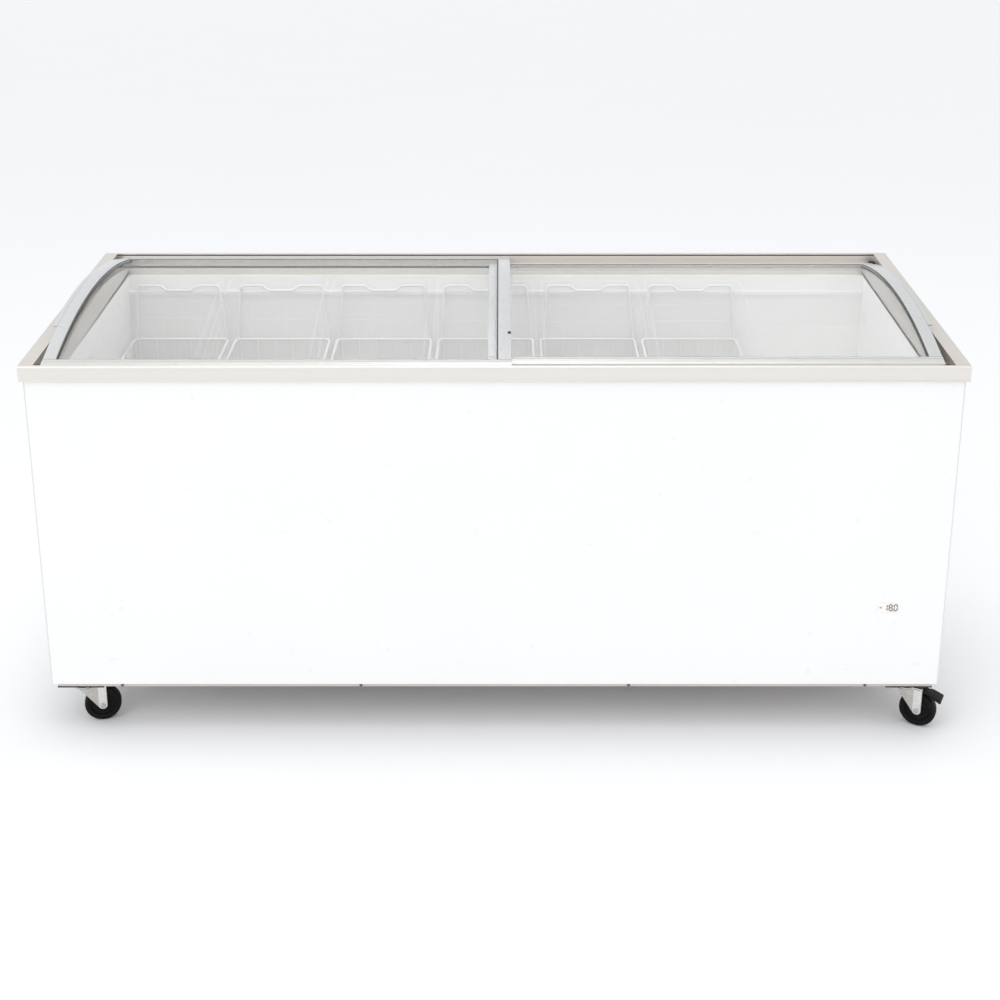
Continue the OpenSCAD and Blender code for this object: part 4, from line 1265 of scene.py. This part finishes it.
@dataclass(frozen=True)
class Studio:
    """Camera, pale floor, soft lights and world."""

    place: Point = (0.0108, -2.835, 1.5666)
    down_degrees: float = 15.15
    lens: float = 48.89
    shift_up: float = -0.18
    floor_colour: Colour = (0.905, 0.912, 0.925)
    world_left: float = 1.17
    world_right: float = 0.86
    lights: tuple[tuple[str, Point, float, float], ...] = (
        ("key", (-2.6, -3.6, 3.6), 2.6, 18.0),
        ("fill", (3.4, -2.4, 3.0), 3.0, 8.0),
        ("top", (0.0, -0.4, 4.6), 2.6, 28.0),
    )

    def camera(self) -> None:
        """Stand the camera in front of the freezer, looking down at the lids."""
        data = bpy.data.cameras.new("camera")
        data.lens = self.lens
        data.sensor_width = 36.0
        data.shift_y = self.shift_up
        data.clip_end = 100.0
        made = bpy.data.objects.new("camera", data)
        made.location = self.place
        made.rotation_euler = (math.radians(90 - self.down_degrees), 0.0, 0.0)
        bpy.context.scene.collection.objects.link(made)
        bpy.context.scene.camera = made

    def floor(self) -> None:
        """Lay a round floor, a grid of rings at growing radii: x = r cos a, y = r sin a, z = 0."""
        radii = np.array([0.5, 2.0, 6.0, 20.0, 90.0])
        angle = np.linspace(0, 2 * np.pi, 96, endpoint=False)
        ring = np.column_stack([np.cos(angle), np.sin(angle), np.zeros_like(angle)])
        sheet = Mesh()
        sheet.grid(radii[:, None, None] * ring[None], wrap_v=True)
        sheet.faces.append(list(range(len(angle))))
        mesh = bpy.data.meshes.new("floor")
        mesh.from_pydata(np.vstack(sheet.points).tolist(), [], sheet.faces)
        mesh.polygons.foreach_set("use_smooth", [True] * len(mesh.polygons))
        made = bpy.data.objects.new("floor", mesh)
        bpy.context.scene.collection.objects.link(made)
        graph = Graph("studio_floor")
        graph.tint(graph.noise(0.6, 2), tuple(c * 0.995 for c in self.floor_colour), self.floor_colour)
        graph.set(Roughness=0.75, Specular_IOR_Level=0.2)
        mesh.materials.append(graph.material)

    def light(self) -> None:
        """Hang the soft lights and an even pale world."""
        aim = Vector((0.0, 0.0, 0.5))
        for name, place, size, power in self.lights:
            data = bpy.data.lights.new(name, "AREA")
            data.shape = "DISK"
            data.size = size
            data.energy = power
            made = bpy.data.objects.new(name, data)
            made.location = place
            made.rotation_euler = (aim - Vector(place)).to_track_quat("-Z", "Y").to_euler()
            bpy.context.scene.collection.objects.link(made)
        world = bpy.data.worlds.new("studio_world")
        world.use_nodes = True
        back = world.node_tree.nodes["Background"]
        sky = world.node_tree.nodes.new("ShaderNodeTexCoord").outputs["Generated"]
        split = world.node_tree.nodes.new("ShaderNodeSeparateXYZ")
        level = world.node_tree.nodes.new("ShaderNodeMapRange")
        level.inputs["From Min"].default_value = -1.0
        level.inputs["To Min"].default_value = self.world_left
        level.inputs["To Max"].default_value = self.world_right
        world.node_tree.links.new(sky, split.inputs[0])
        world.node_tree.links.new(split.outputs["X"], level.inputs["Value"])
        world.node_tree.links.new(level.outputs["Result"], back.inputs["Strength"])
        back.inputs["Color"].default_value = (0.98, 0.99, 1.0, 1.0)
        bpy.context.scene.world = world
        bpy.context.scene.view_settings.view_transform = "Standard"


LID_REACH = 884.0
LID_LAPS = (34.0, -14.0)
BASKETS = 6
BASKET_SPAN = (-858.0, 574.0)
CASTOR_X = 859.0
CASTOR_Y = 281.5
CASTORS = (
    ("front_left", -1, -1, 15.0),
    ("front_right", 1, -1, -28.0),
    ("rear_left", -1, 1, 165.0),
    ("rear_right", 1, 1, 20.0),
)
BRAKED = "front_right"


def build_lids(shape: TopShape) -> None:
    """Build the upper lid at the left and the lower lid at the right, lapping in the middle."""
    lids = (
        ("upper_lid", shape.upper_radius, -LID_REACH, LID_LAPS[0], shape.upper_track, Side.LOW),
        ("lower_lid", shape.lower_radius, LID_LAPS[1], LID_REACH, shape.lower_track, Side.HIGH),
    )
    for lid, floors in zip(lids, zip(shape.front_floors, shape.rear_floors)):
        *place, outer = lid
        SlidingLid(*place, floors, outer).build()


def main() -> None:
    """Build every sub-assembly in order, then the studio."""
    CarriedPieces().dress_all()
    TopFrame().build()
    build_lids(TopShape())
    start, end = BASKET_SPAN
    pitch = (end - start) / BASKETS
    for i in range(BASKETS):
        WireBasket(number=i + 1, centre_x=start + (i + 0.5) * pitch).build()
    for key, sx, sy, turn in CASTORS:
        Castor(key, sx * CASTOR_X, sy * CASTOR_Y, turn, braked=key == BRAKED).build()
    PanelEdges().build()
    display = TemperatureDisplay()
    display.digits()
    display.bezel()
    studio = Studio()
    studio.camera()
    studio.floor()
    studio.light()
    LOG.info("done")


if __name__ == "__main__":
    logging.basicConfig(level=logging.INFO, format="%(name)s: %(message)s")
    main()
